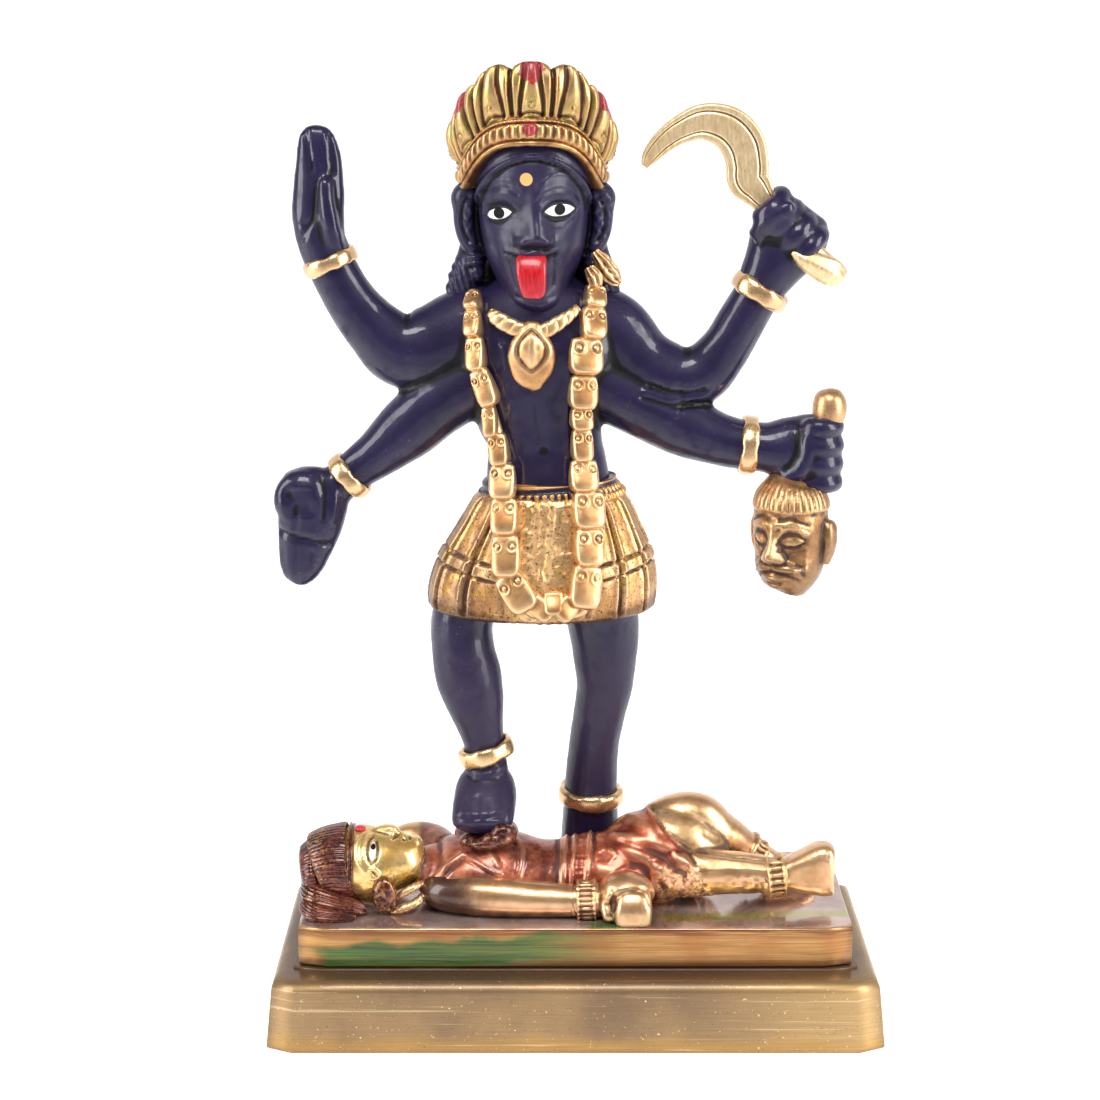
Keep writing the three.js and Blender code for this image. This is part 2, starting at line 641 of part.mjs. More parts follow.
// Bangles on the four wrists and both ankles.
function bangles(leftSole) {
  return [
    bangle([-50, -1.4, 135.4], new THREE.Vector3(-0.38, 0, 0.93), 4.7, 1.35),
    bangle([-46.9, -1.6, 91], new THREE.Vector3(-0.75, 0, -0.66), 4.4, 1.3),
    bangle([37.4, -1.2, 129.3], new THREE.Vector3(0.52, 0, 0.86), 5.2, 1.45),
    bangle([35.7, -1.4, 97.4], new THREE.Vector3(1, 0, -0.1), 5.3, 1.3),
    bangle([-18.8, -2, leftSole + 15.4], new THREE.Vector3(-0.31, 0, 0.95), 5, 1.35),
    bangle([3.4, 9.8, 17], new THREE.Vector3(0, -0.12, 1), 5.7, 1.5),
  ];
}

// Where the sickle's handle lies, in the standing figure's units
const SICKLE_GRIP = new THREE.Vector3(43.8, -2.6, 142);
const SICKLE_AXIS = new THREE.Vector3(Math.SQRT1_2, 0, -Math.SQRT1_2);

// Moves a solid drawn in the standing figure's units to its real size and place.
function placeStanding(manifold) {
  return manifold.scale([STANDING_SCALE, STANDING_SCALE, STANDING_SCALE]).translate([0, 0, SLAB_TOP]);
}

// The sickle's outline: a blade whose middle line curls round and thins to its tip, and the tang that
// runs into the fist. Each stop is a point of the middle line and half the width there.
function sickleOutline(grow) {
  const stops = [
    [46.5, 139.3, 1.5], [41.5, 144.3, 2], [38.2, 147.8, 2.7], [36.2, 150.2, 3.6], [34.6, 152.2, 4.2],
    [34.4, 155.3, 4.3], [33.3, 159.3, 4.5], [30.2, 162.5, 4.3], [25.4, 163.6, 3.6], [20.65, 161.9, 2.8],
    [17.3, 159.5, 2.3], [14.9, 156.8, 1.7], [13.7, 154.8, 0.7],
  ];
  const middle = new THREE.SplineCurve(stops.map(([x, z]) => new THREE.Vector2(x, z)));
  const width = new THREE.SplineCurve(stops.map(([, , half], i) => new THREE.Vector2(i, half)));
  const steps = 18;
  const outer = [];
  const inner = [];
  for (let i = 0; i <= steps; i++) {
    const spot = middle.getPoint(i / steps).multiplyScalar(STANDING_SCALE);
    const along = middle.getTangent(i / steps);
    const half = width.getPoint(i / steps).y * STANDING_SCALE + grow;
    outer.push(new THREE.Vector2(spot.x + along.y * half, spot.y - along.x * half));
    inner.push(new THREE.Vector2(spot.x - along.y * half, spot.y + along.x * half));
  }
  return new THREE.Shape([...outer, ...inner.reverse()]);
}

// The sickle in millimetres, grown all round by a clearance where it is used to cut its slot.
function sickle(grow) {
  const thickness = SICKLE_THICKNESS + 2 * grow;
  const grip = SICKLE_GRIP.clone().multiplyScalar(STANDING_SCALE);
  const plate = new THREE.ExtrudeGeometry(sickleOutline(grow), { depth: thickness, bevelEnabled: false });
  plate.rotateX(Math.PI / 2).translate(0, grip.y + thickness / 2, 0);
  const stops = [
    [-4.5, HANDLE_RADIUS * 0.9],
    [-2, HANDLE_RADIUS],
    [7, HANDLE_RADIUS],
    [11.5, POMMEL_RADIUS * 0.8],
  ];
  const handle = limb(
    stops.map(([along, radius]) => {
      const spot = grip.clone().addScaledVector(SICKLE_AXIS, along * STANDING_SCALE);
      return ring(spot.x, spot.y, spot.z, radius + grow);
    }),
    { sides: 8, steps: 3 },
  );
  const knob = limb(
    [
      ring(43.4, -6.2, 137.8, 0.5 + grow),
      ring(46, -5.6, 136.4, 2 + grow),
      ring(50, -4.4, 134.4, POMMEL_RADIUS + grow),
      ring(53, -3.6, 133, POMMEL_RADIUS * 0.8 + grow),
      ring(54.2, -3.4, 132.4, POMMEL_RADIUS * 0.4 + grow),
    ],
    { sides: 8, steps: 4 },
  ).scale(STANDING_SCALE, STANDING_SCALE, STANDING_SCALE);
  return join(plate, handle, knob).translate([0, 0, SLAB_TOP]);
}

// A box that trims a foot flat: it fills the space under the given height, between two x positions.
function trimBelow(height, left, right) {
  const deep = 60;
  const box = new THREE.BoxGeometry(right - left, 2 * deep, deep);
  return solid(box.translate((left + right) / 2, 0, height - deep / 2));
}

// The standing figure, all one casting.
function standingFigure() {
  const leftSole = (PAD_TOP + JOINT_GAP) / STANDING_SCALE;
  const rightSole = JOINT_GAP / STANDING_SCALE;
  const cast = join(
    torso(),
    arms(),
    raisedHand(),
    loweredHand(),
    raisedFist(),
    loweredFist(),
    severedHead(),
    head(),
    crown(),
    skirt(),
    garland(),
    necklace(),
    legs(leftSole),
    foot(LEFT_HEEL, LEFT_TOES, leftSole, true),
    foot(RIGHT_HEEL, RIGHT_TOES, rightSole, false),
    bangles(leftSole),
  );
  const between = -9 * STANDING_SCALE;
  const reach = 40 * STANDING_SCALE;
  return placeStanding(cast)
    .subtract(trimBelow(SLAB_TOP + PAD_TOP + JOINT_GAP, between - reach, between))
    .subtract(trimBelow(SLAB_TOP + JOINT_GAP, between, between + reach))
    .subtract(sickle(SICKLE_CLEARANCE));
}

// Trunk of the reclining figure, lying on its back: hips at +X, neck at -X, with the folds of its garment.
function recliningTrunk() {
  const folds = (turn, share) => (share > 0.2 && share < 0.55 ? 0.3 * Math.cos(share * 2 * Math.PI * 5) : 0);
  return limb(
    [
      ring(-36, -7.5, 8, 3.6, 3.4),
      ring(-32, -7.2, 7.2, 5.6, 5),
      ring(-28, -6.8, 6.2, 9.2, 7),
      ring(-20, -6.6, 6.4, 10.4, 8.6),
      ring(-13, -6.4, 6, 10, 8.6),
      ring(-7, -6.2, 5.6, 9, 7.2),
      ring(-1, -6, 5.6, 8.8, 7.4),
      ring(5, -6, 6, 9.4, 8.2),
      ring(11, -6, 6.2, 9.6, 9),
      ring(16, -6, 6, 8, 8),
    ],
    { sides: 12, steps: 12, relief: folds, facing: UP },
  );
}

// Head of the reclining figure, face up and turned a little to the viewer, with its bound hair.
function recliningHead() {
  const face = limb(
    [
      ring(-51.5, -8, 8.4, 3, 3.4),
      ring(-50, -8, 8.6, 6.6, 6.6),
      ring(-46, -8, 8.7, 8.2, 7.8),
      ring(-42, -8.2, 8.9, 8.2, 7.2),
      ring(-38, -8.4, 9, 7, 6),
      ring(-35, -8.6, 9.4, 5, 4.6),
      ring(-33, -8.6, 9.8, 2.6, 2.6),
    ],
    { sides: 12, steps: 6, facing: UP },
  );
  const ridges = (turn, share) => 0.45 * Math.cos(turn * 2 * Math.PI * 7);
  const hair = limb(
    [
      ring(-57.6, -8, 6.4, 3, 3),
      ring(-56.6, -8, 7, 6, 5.4),
      ring(-54.6, -8, 7.8, 6.8, 6.8),
      ring(-53, -8, 8, 6.6, 6.6),
      ring(-51, -8, 8.4, 8.6, 8.2),
      ring(-47.5, -8, 8.6, 9.2, 8.8),
      ring(-45.4, -8, 8.6, 8.4, 8),
    ],
    { sides: 14, steps: 6, facing: UP, relief: ridges },
  );
  const nose = limb([ring(-43, -9.6, 15.6, 1, 0.9), ring(-40.2, -9.8, 16.2, 1.5, 1.5), ring(-38.9, -9.8, 16, 1.6, 1.3),
    ring(-38.2, -9.8, 15, 1, 0.8)], { sides: 5, steps: 3, facing: UP });
  const lips = ball(-36.4, -9.8, 13.6, 0.9, 2, 1.3, 5, 4);
  const chin = ball(-33.4, -9.4, 12.2, 1.7, 2, 1.8, 5, 4);
  const ear = ball(-40.8, -14.8, 7.6, 2.4, 2, 2.2, 5, 4);
  const earring = ball(-40, -15.6, 4.6, 2.4, 2, 2.8, 6, 4);
  const fallen = limb([ring(-56.6, -13, 4, 2.4, 2.6), ring(-56, -16, 2.6, 2.8, 2.8), ring(-50, -18, 1.8, 2.6, 2.6),
    ring(-44, -18.4, 1, 1.8, 1.8)], { sides: 6, steps: 4, facing: UP });
  return [face, hair, nose, lips, chin, ear, earring, fallen];
}

// Arms of the reclining figure: the near one along the slab with its hand over the edge, the far one bent.
function recliningArms() {
  const near = limb(
    [ring(-29, -10, 6, 4.4, 4.6), ring(-25, -14, 4.4, 4.4, 4), ring(-18, -16, 3.6, 3.8, 4), ring(-9, -16.6, 3, 3.4, 3.6),
      ring(0, -17, 2.8, 3, 3), ring(7, -17.4, 3.4, 3.2, 3.2)],
    { sides: 8, steps: 6, facing: UP },
  );
  const cuff = bangle([3.2, -17.2, 3.2], new THREE.Vector3(1, 0, 0), 3.3, 1.5);
  const palm = limb(
    [ring(9.4, -15.2, 3.6, 2.8, 3.2), ring(10, -17.4, 5.2, 3, 4.6), ring(10.8, -20, 5.4, 2.6, 4),
      ring(11.2, -22, 3.2, 1.8, 3.5), ring(11.2, -22.5, 0.2, 1.2, 3.2)],
    { sides: 8, steps: 4, facing: new THREE.Vector3(1, 0, 0) },
  );
  const thumb = finger([[5.4, -18.4, 4.2], [6, -20.4, 3], [6.3, -21.6, 1.2]], 1.3, new THREE.Vector3(1, 0, 0));
  const far = limb(
    [ring(-28, -1, 8.4, 4, 4), ring(-31, 3.5, 9, 3.6, 3.6), ring(-36, 6.4, 8, 3.2, 3.2), ring(-42, 6.4, 6, 2.8, 2.8),
      ring(-47, 4.6, 3.4, 2.4, 2.4), ring(-49, 3.6, 2, 1.6, 1.6)],
    { sides: 7, steps: 6, facing: UP },
  );
  return [near, cuff, palm, thumb, far];
}

// Legs of the reclining figure under a cloth that rises to the bent far knee and falls to a hem.
function recliningLegs() {
  const drape = (turn, share) => 0.35 * Math.cos(turn * 2 * Math.PI * 6) * Math.sin(Math.PI * share);
  const cloth = limb(
    [
      ring(8, -5.4, 5.6, 9.6, 8),
      ring(13, -4.6, 7.6, 9.8, 10),
      ring(18, -3.8, 9, 9, 10.6),
      ring(22, -3.6, 9.4, 8.4, 10.4),
      ring(26, -4.2, 8, 7.6, 8.6),
      ring(29.4, -5.6, 5.8, 6, 6.2),
    ],
    { sides: 12, steps: 5, facing: UP, relief: drape },
  );
  const shin = limb(
    [ring(17, -1.4, 13, 4.6, 5), ring(24.4, -1, 17.4, 4.6, 4.6), ring(29, -0.4, 14.6, 4.4, 4.4),
      ring(34, 0.6, 10.6, 3.9, 3.9), ring(38.4, 1.6, 7.4, 3.3, 3.3), ring(42, 2, 5.2, 3, 3)],
    { sides: 7, steps: 5, facing: BACK },
  );
  const near = limb(
    [ring(16, -10.5, 6.4, 6, 6), ring(24, -10.8, 6, 5.8, 6), ring(31, -11, 5.6, 5, 5.2), ring(38, -11, 5.2, 4, 4.2),
      ring(43, -11, 5.2, 3.6, 3.7), ring(48, -11, 5.6, 3.6, 3.6)],
    { sides: 8, steps: 5, facing: UP },
  );
  const nearFoot = limb(
    [ring(49.6, -11, 0.8, 2.6, 3), ring(49.8, -11, 3.4, 4.2, 3.8), ring(50.4, -11, 7.4, 4, 3.6),
      ring(52, -11, 10.6, 3.6, 3), ring(53.6, -11, 12.6, 2.6, 1.8)],
    { sides: 8, steps: 4, facing: new THREE.Vector3(1, 0, 0) },
  );
  const farFoot = limb(
    [ring(41, 2, 4.6, 3, 3.2), ring(45, 2.4, 4, 3.2, 3), ring(49, 2.6, 2.8, 3.2, 2.2), ring(52, 2.6, 2, 2.2, 1.4)],
    { sides: 7, steps: 3, facing: UP },
  );
  return [
    cloth,
    shin,
    near,
    nearFoot,
    farFoot,
    bangle([43.6, -11, 5.4], new THREE.Vector3(1, 0, 0), 3.7, 1.4),
    bangle([39.6, 1.8, 6.6], new THREE.Vector3(0.8, 0.1, -0.6), 3.2, 1.2),
  ];
}

// The slab and the reclining figure, one casting: whatever of the figure lies under the slab's top is cut off.
function recliningSlab() {
  const drawn = join(recliningTrunk(), recliningHead(), recliningArms(), recliningLegs());
  const figure = drawn.scale([RECLINING_SCALE, RECLINING_SCALE, RECLINING_SCALE]).translate([0, 0, SLAB_TOP]);
  const rise = PAD_RISE + PAD_ROOT;
  const underFoot = [0, 1].map((i) => ((LEFT_HEEL[i] + LEFT_TOES[i]) / 2) * STANDING_SCALE);
  const pad = new THREE.CylinderGeometry(PAD_RADIUS * PAD_TAPER, PAD_RADIUS, rise, 16)
    .rotateX(Math.PI / 2)
    .translate(underFoot[0], underFoot[1], SLAB_TOP + PAD_TOP - rise / 2);
  const slab = block({
    width: SLAB_WIDTH,
    depth: SLAB_DEPTH,
    height: SLAB_HEIGHT,
    corner: SLAB_CORNER,
    topEdge: SLAB_EDGE,
    footEdge: SLAB_EDGE / 2,
    batter: 0,
  }).translate(0, 0, SLAB_BASE);
  const sunk = Math.min(1, SLAB_HEIGHT / 2);
  const clear = SLAB_WIDTH + RECLINING_LENGTH;
  return figure.add(solid(pad)).subtract(trimBelow(SLAB_TOP - sunk, -clear, clear)).add(solid(slab));
}

// The plinth with the seat that carries the slab.
function plinth() {
  const body = block({
    width: PLINTH_WIDTH,
    depth: PLINTH_DEPTH,
    height: PLINTH_HEIGHT,
    corner: PLINTH_CORNER,
    topEdge: PLINTH_EDGE,
    footEdge: PLINTH_FOOT_EDGE,
    batter: PLINTH_BATTER,
  });
  const sunk = 1;
  const seat = block({
    width: SLAB_WIDTH + 2 * SEAT_MARGIN,
    depth: SLAB_DEPTH + SEAT_MARGIN,
    height: SEAT_RISE + sunk,
    corner: SLAB_CORNER + SEAT_MARGIN,
    topEdge: SEAT_RISE * 0.6,
    footEdge: 0.1,
    batter: 0,
  }).translate(0, 0, PLINTH_HEIGHT - sunk);
  return join(body, seat);
}

// A named mesh in the group.
function mesh(name, geometry, colour, roughness, metalness) {
  const made = new THREE.Mesh(geometry, new THREE.MeshStandardMaterial({ color: colour, roughness, metalness }));
  made.name = name;
  return made;
}

const group = new THREE.Group();
group.add(mesh("plinth", geometryOf(plinth()), 0xa8895a, 0.42, 0.9));
group.add(mesh("reclining_figure_slab", geometryOf(recliningSlab()), 0x8f5a38, 0.35, 0.7));
group.add(mesh("standing_figure", geometryOf(standingFigure()), 0x1d1b26, 0.42, 0.2));
group.add(mesh("sickle", geometryOf(sickle(0)), 0xc9a25c, 0.35, 0.95));

export default group;
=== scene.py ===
"""Four-armed goddess on a reclining figure, cast in brass and painted: surfaces, finishes, light and camera.

Shapes are worked out in millimetres and written into the meshes in metres. The standing and the reclining
figure are drawn in heights above the slab's top, as in the solids they replace.
"""

import bpy
import numpy as np
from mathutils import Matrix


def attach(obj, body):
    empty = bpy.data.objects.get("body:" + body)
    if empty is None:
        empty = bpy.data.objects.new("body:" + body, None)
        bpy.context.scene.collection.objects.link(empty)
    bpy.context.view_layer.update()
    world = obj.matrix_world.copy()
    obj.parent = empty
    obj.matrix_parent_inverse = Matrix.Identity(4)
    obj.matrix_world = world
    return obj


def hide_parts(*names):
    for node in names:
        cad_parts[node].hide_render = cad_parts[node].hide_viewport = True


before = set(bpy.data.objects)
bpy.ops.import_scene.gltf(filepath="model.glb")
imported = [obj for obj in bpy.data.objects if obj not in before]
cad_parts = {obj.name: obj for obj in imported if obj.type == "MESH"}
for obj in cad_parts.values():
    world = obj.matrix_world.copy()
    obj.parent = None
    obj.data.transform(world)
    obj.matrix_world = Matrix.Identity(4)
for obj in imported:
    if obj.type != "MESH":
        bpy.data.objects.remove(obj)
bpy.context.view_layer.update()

MM = 0.001
BACK, FRONT, UP, RIGHT = np.array([[0, 1, 0], [0, -1, 0], [0, 0, 1], [1, 0, 0]], float)

# Camera: where it stands in metres, its lens in millimetres, and how far it looks down in degrees
CAMERA_SPOT = (-0.0053, -0.510, 0.2165)
CAMERA_SENSOR, CAMERA_LENS, CAMERA_DIP = 36, 81.8, 12.96

# Base, in millimetres
PLINTH = dict(width=128, depth=64, height=14.9, corner=3, top_edge=2.2, foot_edge=0.7, batter=1.4)
SEAT_RISE, SEAT_MARGIN, JOINT_GAP = 0.5, 1.2, 0.3
SLAB = dict(width=115.2, depth=47.2, height=8.5, corner=1.2, top_edge=0.6, foot_edge=0.3, batter=0)
SLAB_BASE = PLINTH["height"] + SEAT_RISE + JOINT_GAP
SLAB_TOP = SLAB_BASE + SLAB["height"]
CHEST_HEIGHT, PAD_RISE = 15, 0.9
LEFT_SOLE = CHEST_HEIGHT + PAD_RISE + JOINT_GAP
RIGHT_SOLE = JOINT_GAP


def set_camera():
    """The camera of the photograph: in front, a little above, looking slightly down."""
    data = bpy.data.cameras.new("camera")
    data.sensor_width, data.lens = CAMERA_SENSOR, CAMERA_LENS
    camera = bpy.data.objects.new("camera", data)
    camera.location = CAMERA_SPOT
    camera.rotation_euler = (np.radians(90 - CAMERA_DIP), 0, 0)
    bpy.context.scene.collection.objects.link(camera)
    bpy.context.scene.camera = camera


set_camera()


# Shapes

class Shape:
    """A closed surface in millimetres: its points, its four-sided and three-sided faces, and values per point."""

    def __init__(self, points, quads, tris=()):
        self.points = np.asarray(points, float).reshape(-1, 3)
        self.quads = np.asarray(quads, int).reshape(-1, 4)
        self.tris = np.asarray(tris, int).reshape(-1, 3)
        self.values = {}

    def moved(self, offset):
        self.points = self.points + np.asarray(offset, float)
        return self

    def turned(self, degrees, axis, about=(0, 0, 0)):
        """Turned about an axis through a point, by the right-hand rule."""
        a, b = [(1, 2), (2, 0), (0, 1)][axis]
        c, s = np.cos(np.radians(degrees)), np.sin(np.radians(degrees))
        p = self.points - np.asarray(about, float)
        p[:, a], p[:, b] = c * p[:, a] - s * p[:, b], s * p[:, a] + c * p[:, b]
        self.points = p + np.asarray(about, float)
        return self

    def _spread(self, per_face, faces):
        """Sums a value of each face onto the face's corners."""
        count = len(self.points)
        return np.stack([sum(np.bincount(faces[:, k], per_face[:, c], count) for k in range(faces.shape[1]))
                         for c in range(per_face.shape[1])], 1)

    def normals(self):
        """Area-weighted normals: the cross product of each face's diagonals, summed at its corners."""
        p, q, t = self.points, self.quads, self.tris
        total = self._spread(np.cross(p[q[:, 2]] - p[q[:, 0]], p[q[:, 3]] - p[q[:, 1]]), q)
        if len(t):
            total += self._spread(np.cross(p[t[:, 1]] - p[t[:, 0]], p[t[:, 2]] - p[t[:, 0]]), t)
        return total / (np.linalg.norm(total, axis=1, keepdims=True) + 1e-12)

    def press(self, amount):
        """Moves every point along its normal, outwards where amount is positive."""
        self.points = self.points + self.normals() * np.asarray(amount)[:, None]
        return self

    def _edges(self):
        loops = [(self.quads, 4), (self.tris, 3)]
        return np.concatenate([np.stack([f[:, k], f[:, (k + 1) % n]], 1) for f, n in loops for k in range(n)])

    def smoothed(self, values, rounds):
        """Values averaged with those of the neighbouring points, over and over."""
        edges = self._edges()
        a = np.concatenate([edges[:, 0], edges[:, 1]])
        b = np.concatenate([edges[:, 1], edges[:, 0]])
        count = np.bincount(a, minlength=len(self.points))[:, None] + 1.0
        values = np.asarray(values, float).reshape(len(self.points), -1)
        for _ in range(rounds):
            total = np.stack([np.bincount(a, values[b, c], len(values)) for c in range(values.shape[1])], 1)
            values = (values + total) / count
        return values

    def find_hollows(self, rounds=12, span=0.14):
        """Notes at each point how far it lies under a smoothed copy of the surface, as a share of span:
        1 in a groove, -1 on a ridge."""
        lift = ((self.smoothed(self.points, rounds) - self.points) * self.normals()).sum(1)
        self.values["hollow"] = np.clip(self.smoothed(lift / span, 1)[:, 0], -1, 1)
        return self


def outward(shape):
    """Turns the faces of a closed shape round where its volume, the sum of the pyramids between its faces and
    the origin, is negative."""
    p, q, t = shape.points, shape.quads, shape.tris
    volume = (np.cross(p[q[:, 2]] - p[q[:, 0]], p[q[:, 3]] - p[q[:, 1]]) * p[q].mean(1)).sum()
    volume += (np.cross(p[t[:, 1]] - p[t[:, 0]], p[t[:, 2]] - p[t[:, 0]]) * p[t].mean(1)).sum()
    if volume < 0:
        shape.quads, shape.tris = q[:, ::-1], t[:, ::-1]
    return shape


def joined(shapes):
    """Several shapes as one, their faces renumbered. Values aren't carried over."""
    starts = np.cumsum([0] + [len(s.points) for s in shapes[:-1]])
    return Shape(np.concatenate([s.points for s in shapes]),
                 np.concatenate([s.quads + k for s, k in zip(shapes, starts)]),
                 np.concatenate([s.tris + k for s, k in zip(shapes, starts)]))


def tube(places):
    """A closed surface through rows of points: row by row along it, closed round each row, with the middle of
    the first and the last row as poles."""
    rows, columns = places.shape[:2]
    i, j = np.meshgrid(np.arange(rows - 1), np.arange(columns), indexing="ij")
    k = (j + 1) % columns
    quads = np.stack([i * columns + j, i * columns + k, (i + 1) * columns + k, (i + 1) * columns + j], -1)
    first, last = rows * columns, rows * columns + 1
    column = np.arange(columns)
    nxt = (column + 1) % columns
    end = (rows - 1) * columns
    tris = np.concatenate([np.stack([np.full(columns, first), nxt, column], 1),
                           np.stack([end + column, end + nxt, np.full(columns, last)], 1)])
    poles = np.stack([places[0].mean(0), places[-1].mean(0)])
    return outward(Shape(np.concatenate([places.reshape(-1, 3), poles]), quads, tris))


def along_curve(stops, share):
    """Points and slopes of a Catmull-Rom curve: between two stops a cubic whose slope at each stop is half the
    step from the stop before to the stop after. Share 0 to 1 runs evenly from stop to stop."""
    stops = np.asarray(stops, float)
    ends = np.vstack([2 * stops[0] - stops[1], stops, 2 * stops[-1] - stops[-2]])
    place = np.clip(share, 0, 1) * (len(stops) - 1)
    i = np.minimum(place.astype(int), len(stops) - 2)
    w = (place - i)[:, None]
    p, q = ends[i + 1], ends[i + 2]
    m, n = (q - ends[i]) / 2, (ends[i + 3] - p) / 2
    spot = p + w * m + w ** 2 * (3 * (q - p) - 2 * m - n) + w ** 3 * (2 * (p - q) + m + n)
    slope = m + 2 * w * (3 * (q - p) - 2 * m - n) + 3 * w ** 2 * (2 * (p - q) + m + n)
    return spot, slope


def signed_power(value, power):
    """A value's size raised to a power, with its sign kept."""
    return np.sign(value) * np.abs(value) ** power


def limb(rings, around=36, along=None, facing=BACK, relief=None, square=2.0):
    """An elliptical tube along a smooth path. Each ring is x, y, z, its reach across and its reach in depth.
    The section at angle a is across * sin(a) + depth * cos(a), the depth being the facing direction made
    square to the path, so that turn 0.5 is the front. Sine and cosine are raised to the power 2 / square, so
    that more than 2 makes the section blockier. Relief is added to both reaches."""
    rings = np.array([list(r) + [r[3]] * (5 - len(r)) for r in rings], float)
    along = along or 8 * (len(rings) - 1)
    share = np.linspace(0, 1, along + 1)
    centre, slope = along_curve(rings[:, :3], share)
    reach, _ = along_curve(rings[:, 3:], share)
    way = slope / np.linalg.norm(slope, axis=1, keepdims=True)
    facing = np.asarray(facing, float)
    depth = facing - way * (way @ facing)[:, None]
    depth /= np.linalg.norm(depth, axis=1, keepdims=True)
    across = np.cross(way, depth)
    turn = np.arange(around) / around
    s, c = np.sin(2 * np.pi * turn), np.cos(2 * np.pi * turn)
    s, c = signed_power(s, 2 / square), signed_power(c, 2 / square)
    extra = relief(turn[None, :], share[:, None]) if relief else np.zeros((along + 1, around))
    places = (centre[:, None] + across[:, None] * (s * (reach[:, :1] + extra))[..., None]
              + depth[:, None] * (c * (reach[:, 1:] + extra))[..., None])
    return tube(places)


def ball(x, y, z, rx, ry=None, rz=None, rows=18, columns=28):
    """An ellipsoid: radius sin(t) times the reach across, height -cos(t) times the reach up."""
    ry, rz = ry or rx, rz or rx
    t = np.linspace(0.06, np.pi - 0.06, rows)[:, None]
    a = np.linspace(0, 2 * np.pi, columns, endpoint=False)[None]
    places = np.stack([x + rx * np.sin(t) * np.cos(a), y + ry * np.sin(t) * np.sin(a),
                       z - rz * np.cos(t) + 0 * a], -1)
    return tube(places)


def fuse(shapes, voxel, rounds=3):
    """Closed shapes melted into one skin: a voxel remesh of them all, softened, as a new shape."""
    draft = bpy.data.objects.new("draft", write_mesh("draft", joined(shapes)))
    bpy.context.scene.collection.objects.link(draft)
    skin = draft.modifiers.new("skin", "REMESH")
    skin.mode = "VOXEL"
    skin.voxel_size = voxel * MM
    soft = draft.modifiers.new("soft", "SMOOTH")
    soft.factor = 0.5
    soft.iterations = rounds
    done = draft.evaluated_get(bpy.context.evaluated_depsgraph_get()).to_mesh()
    points = np.empty(3 * len(done.vertices))
    done.vertices.foreach_get("co", points)
    corners = np.empty(len(done.loops), dtype=int)
    done.loops.foreach_get("vertex_index", corners)
    shape = Shape(points / MM, corners)
    mesh = draft.data
    bpy.data.objects.remove(draft)
    bpy.data.meshes.remove(mesh)
    return shape


def write_mesh(name, shape):
    """A mesh with the shape's points in metres, its faces and its values as attributes."""
    mesh = bpy.data.meshes.new(name)
    mesh.vertices.add(len(shape.points))
    mesh.vertices.foreach_set("co", (shape.points * MM).ravel())
    corners = np.concatenate([shape.quads.ravel(), shape.tris.ravel()])
    mesh.loops.add(len(corners))
    mesh.loops.foreach_set("vertex_index", corners)
    sizes = np.repeat([4, 3], [len(shape.quads), len(shape.tris)])
    mesh.polygons.add(len(sizes))
    mesh.polygons.foreach_set("loop_start", np.concatenate([[0], np.cumsum(sizes)[:-1]]))
    mesh.polygons.foreach_set("use_smooth", np.ones(len(sizes), bool))
    mesh.update(calc_edges=True)
    for key, value in shape.values.items():
        mesh.attributes.new(key, "FLOAT", "POINT").data.foreach_set("value", value)
    return mesh


def place(name, shape, finish, slot, node):
    """Puts a shape into the scene as a piece with its finish, standing in for the named node. The slot is not used.
    """
    piece = bpy.data.objects.new(name, write_mesh(name, shape.find_hollows()))
    piece.data.materials.append(finish)
    bpy.context.scene.collection.objects.link(piece)
    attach(piece, "root")
    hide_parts(node)


# Carving

def step(value, low, high):
    """0 under low, 1 over high, and a smooth s-curve between."""
    t = np.clip((value - low) / (high - low), 0, 1)
    return t * t * (3 - 2 * t)


def hill(distance, width):
    """A bell of height 1: exp(-(distance / width) squared)."""
    return np.exp(-(distance / width) ** 2)


def far_from(points, line, closed=0.25, margin=3, away=9.0):
    """Distance of each point from a smooth line through spots of as many coordinates, taken to knots that lie
    closed apart. Points further off than the margin are not worked out and count as away."""
    line = np.asarray(line, float)
    if len(line) > 1:
        length = np.linalg.norm(np.diff(line, axis=0), axis=1).sum()
        line, _ = along_curve(line, np.linspace(0, 1, max(4, int(length / closed))))
    gap = np.full(len(points), away)
    near = ((points > line.min(0) - margin) & (points < line.max(0) + margin)).all(1)
    spots = points[near]
    best = np.full(len(spots), away)
    for knot in line:
        best = np.minimum(best, np.linalg.norm(spots - knot, axis=1))
    gap[near] = best
    return gap


def straight(points):
    """Places across and up as they are from straight in front."""
    return points[:, (0, 2)]


def seen(points):
    """Where points of the reclining figure show to the camera on the upright plane y = -14: place across and
    height above the slab. The camera is 510 mm in front and 192.3 mm above the slab's top."""
    eye, away, plane = np.array([-5.3, 192.3]), 510, -14
    return eye + (points[:, (0, 2)] - eye) * ((away + plane) / (points[:, 1] + away))[:, None]


def engrave(shape, lines, view=straight, toward=FRONT):
    """Presses grooves (depth over 0) or raises ridges (depth under 0) along lines as a view shows them. Each
    line is its spots, its half width and its depth; points that don't face toward are left alone."""
    facing = step(shape.normals() @ toward, 0.05, 0.45)
    where = view(shape.points)
    push = np.zeros(len(shape.points))
    for spots, width, depth in lines:
        push -= depth * hill(far_from(where, spots), width)
    return shape.press(push * facing)


def within_line(line, along, across):
    """How far places lie beyond a line that gives one coordinate as a function of the other."""
    line = np.asarray(sorted(line))
    return across - np.interp(along, line[:, 0], line[:, 1])


def mould(shape, touches):
    """Moves the front of a face, what lies before y = -6, towards the viewer. Each touch is x, z, how wide, how
    tall, and how far."""
    p = shape.points
    push = np.zeros(len(p))
    for x, z, wide, tall, far in touches:
        push += far * hill(p[:, 0] - x, wide) * hill(p[:, 2] - z, tall)
    push *= step(-p[:, 1], 4.5, 7.5)
    shape.points = p - push[:, None] * BACK


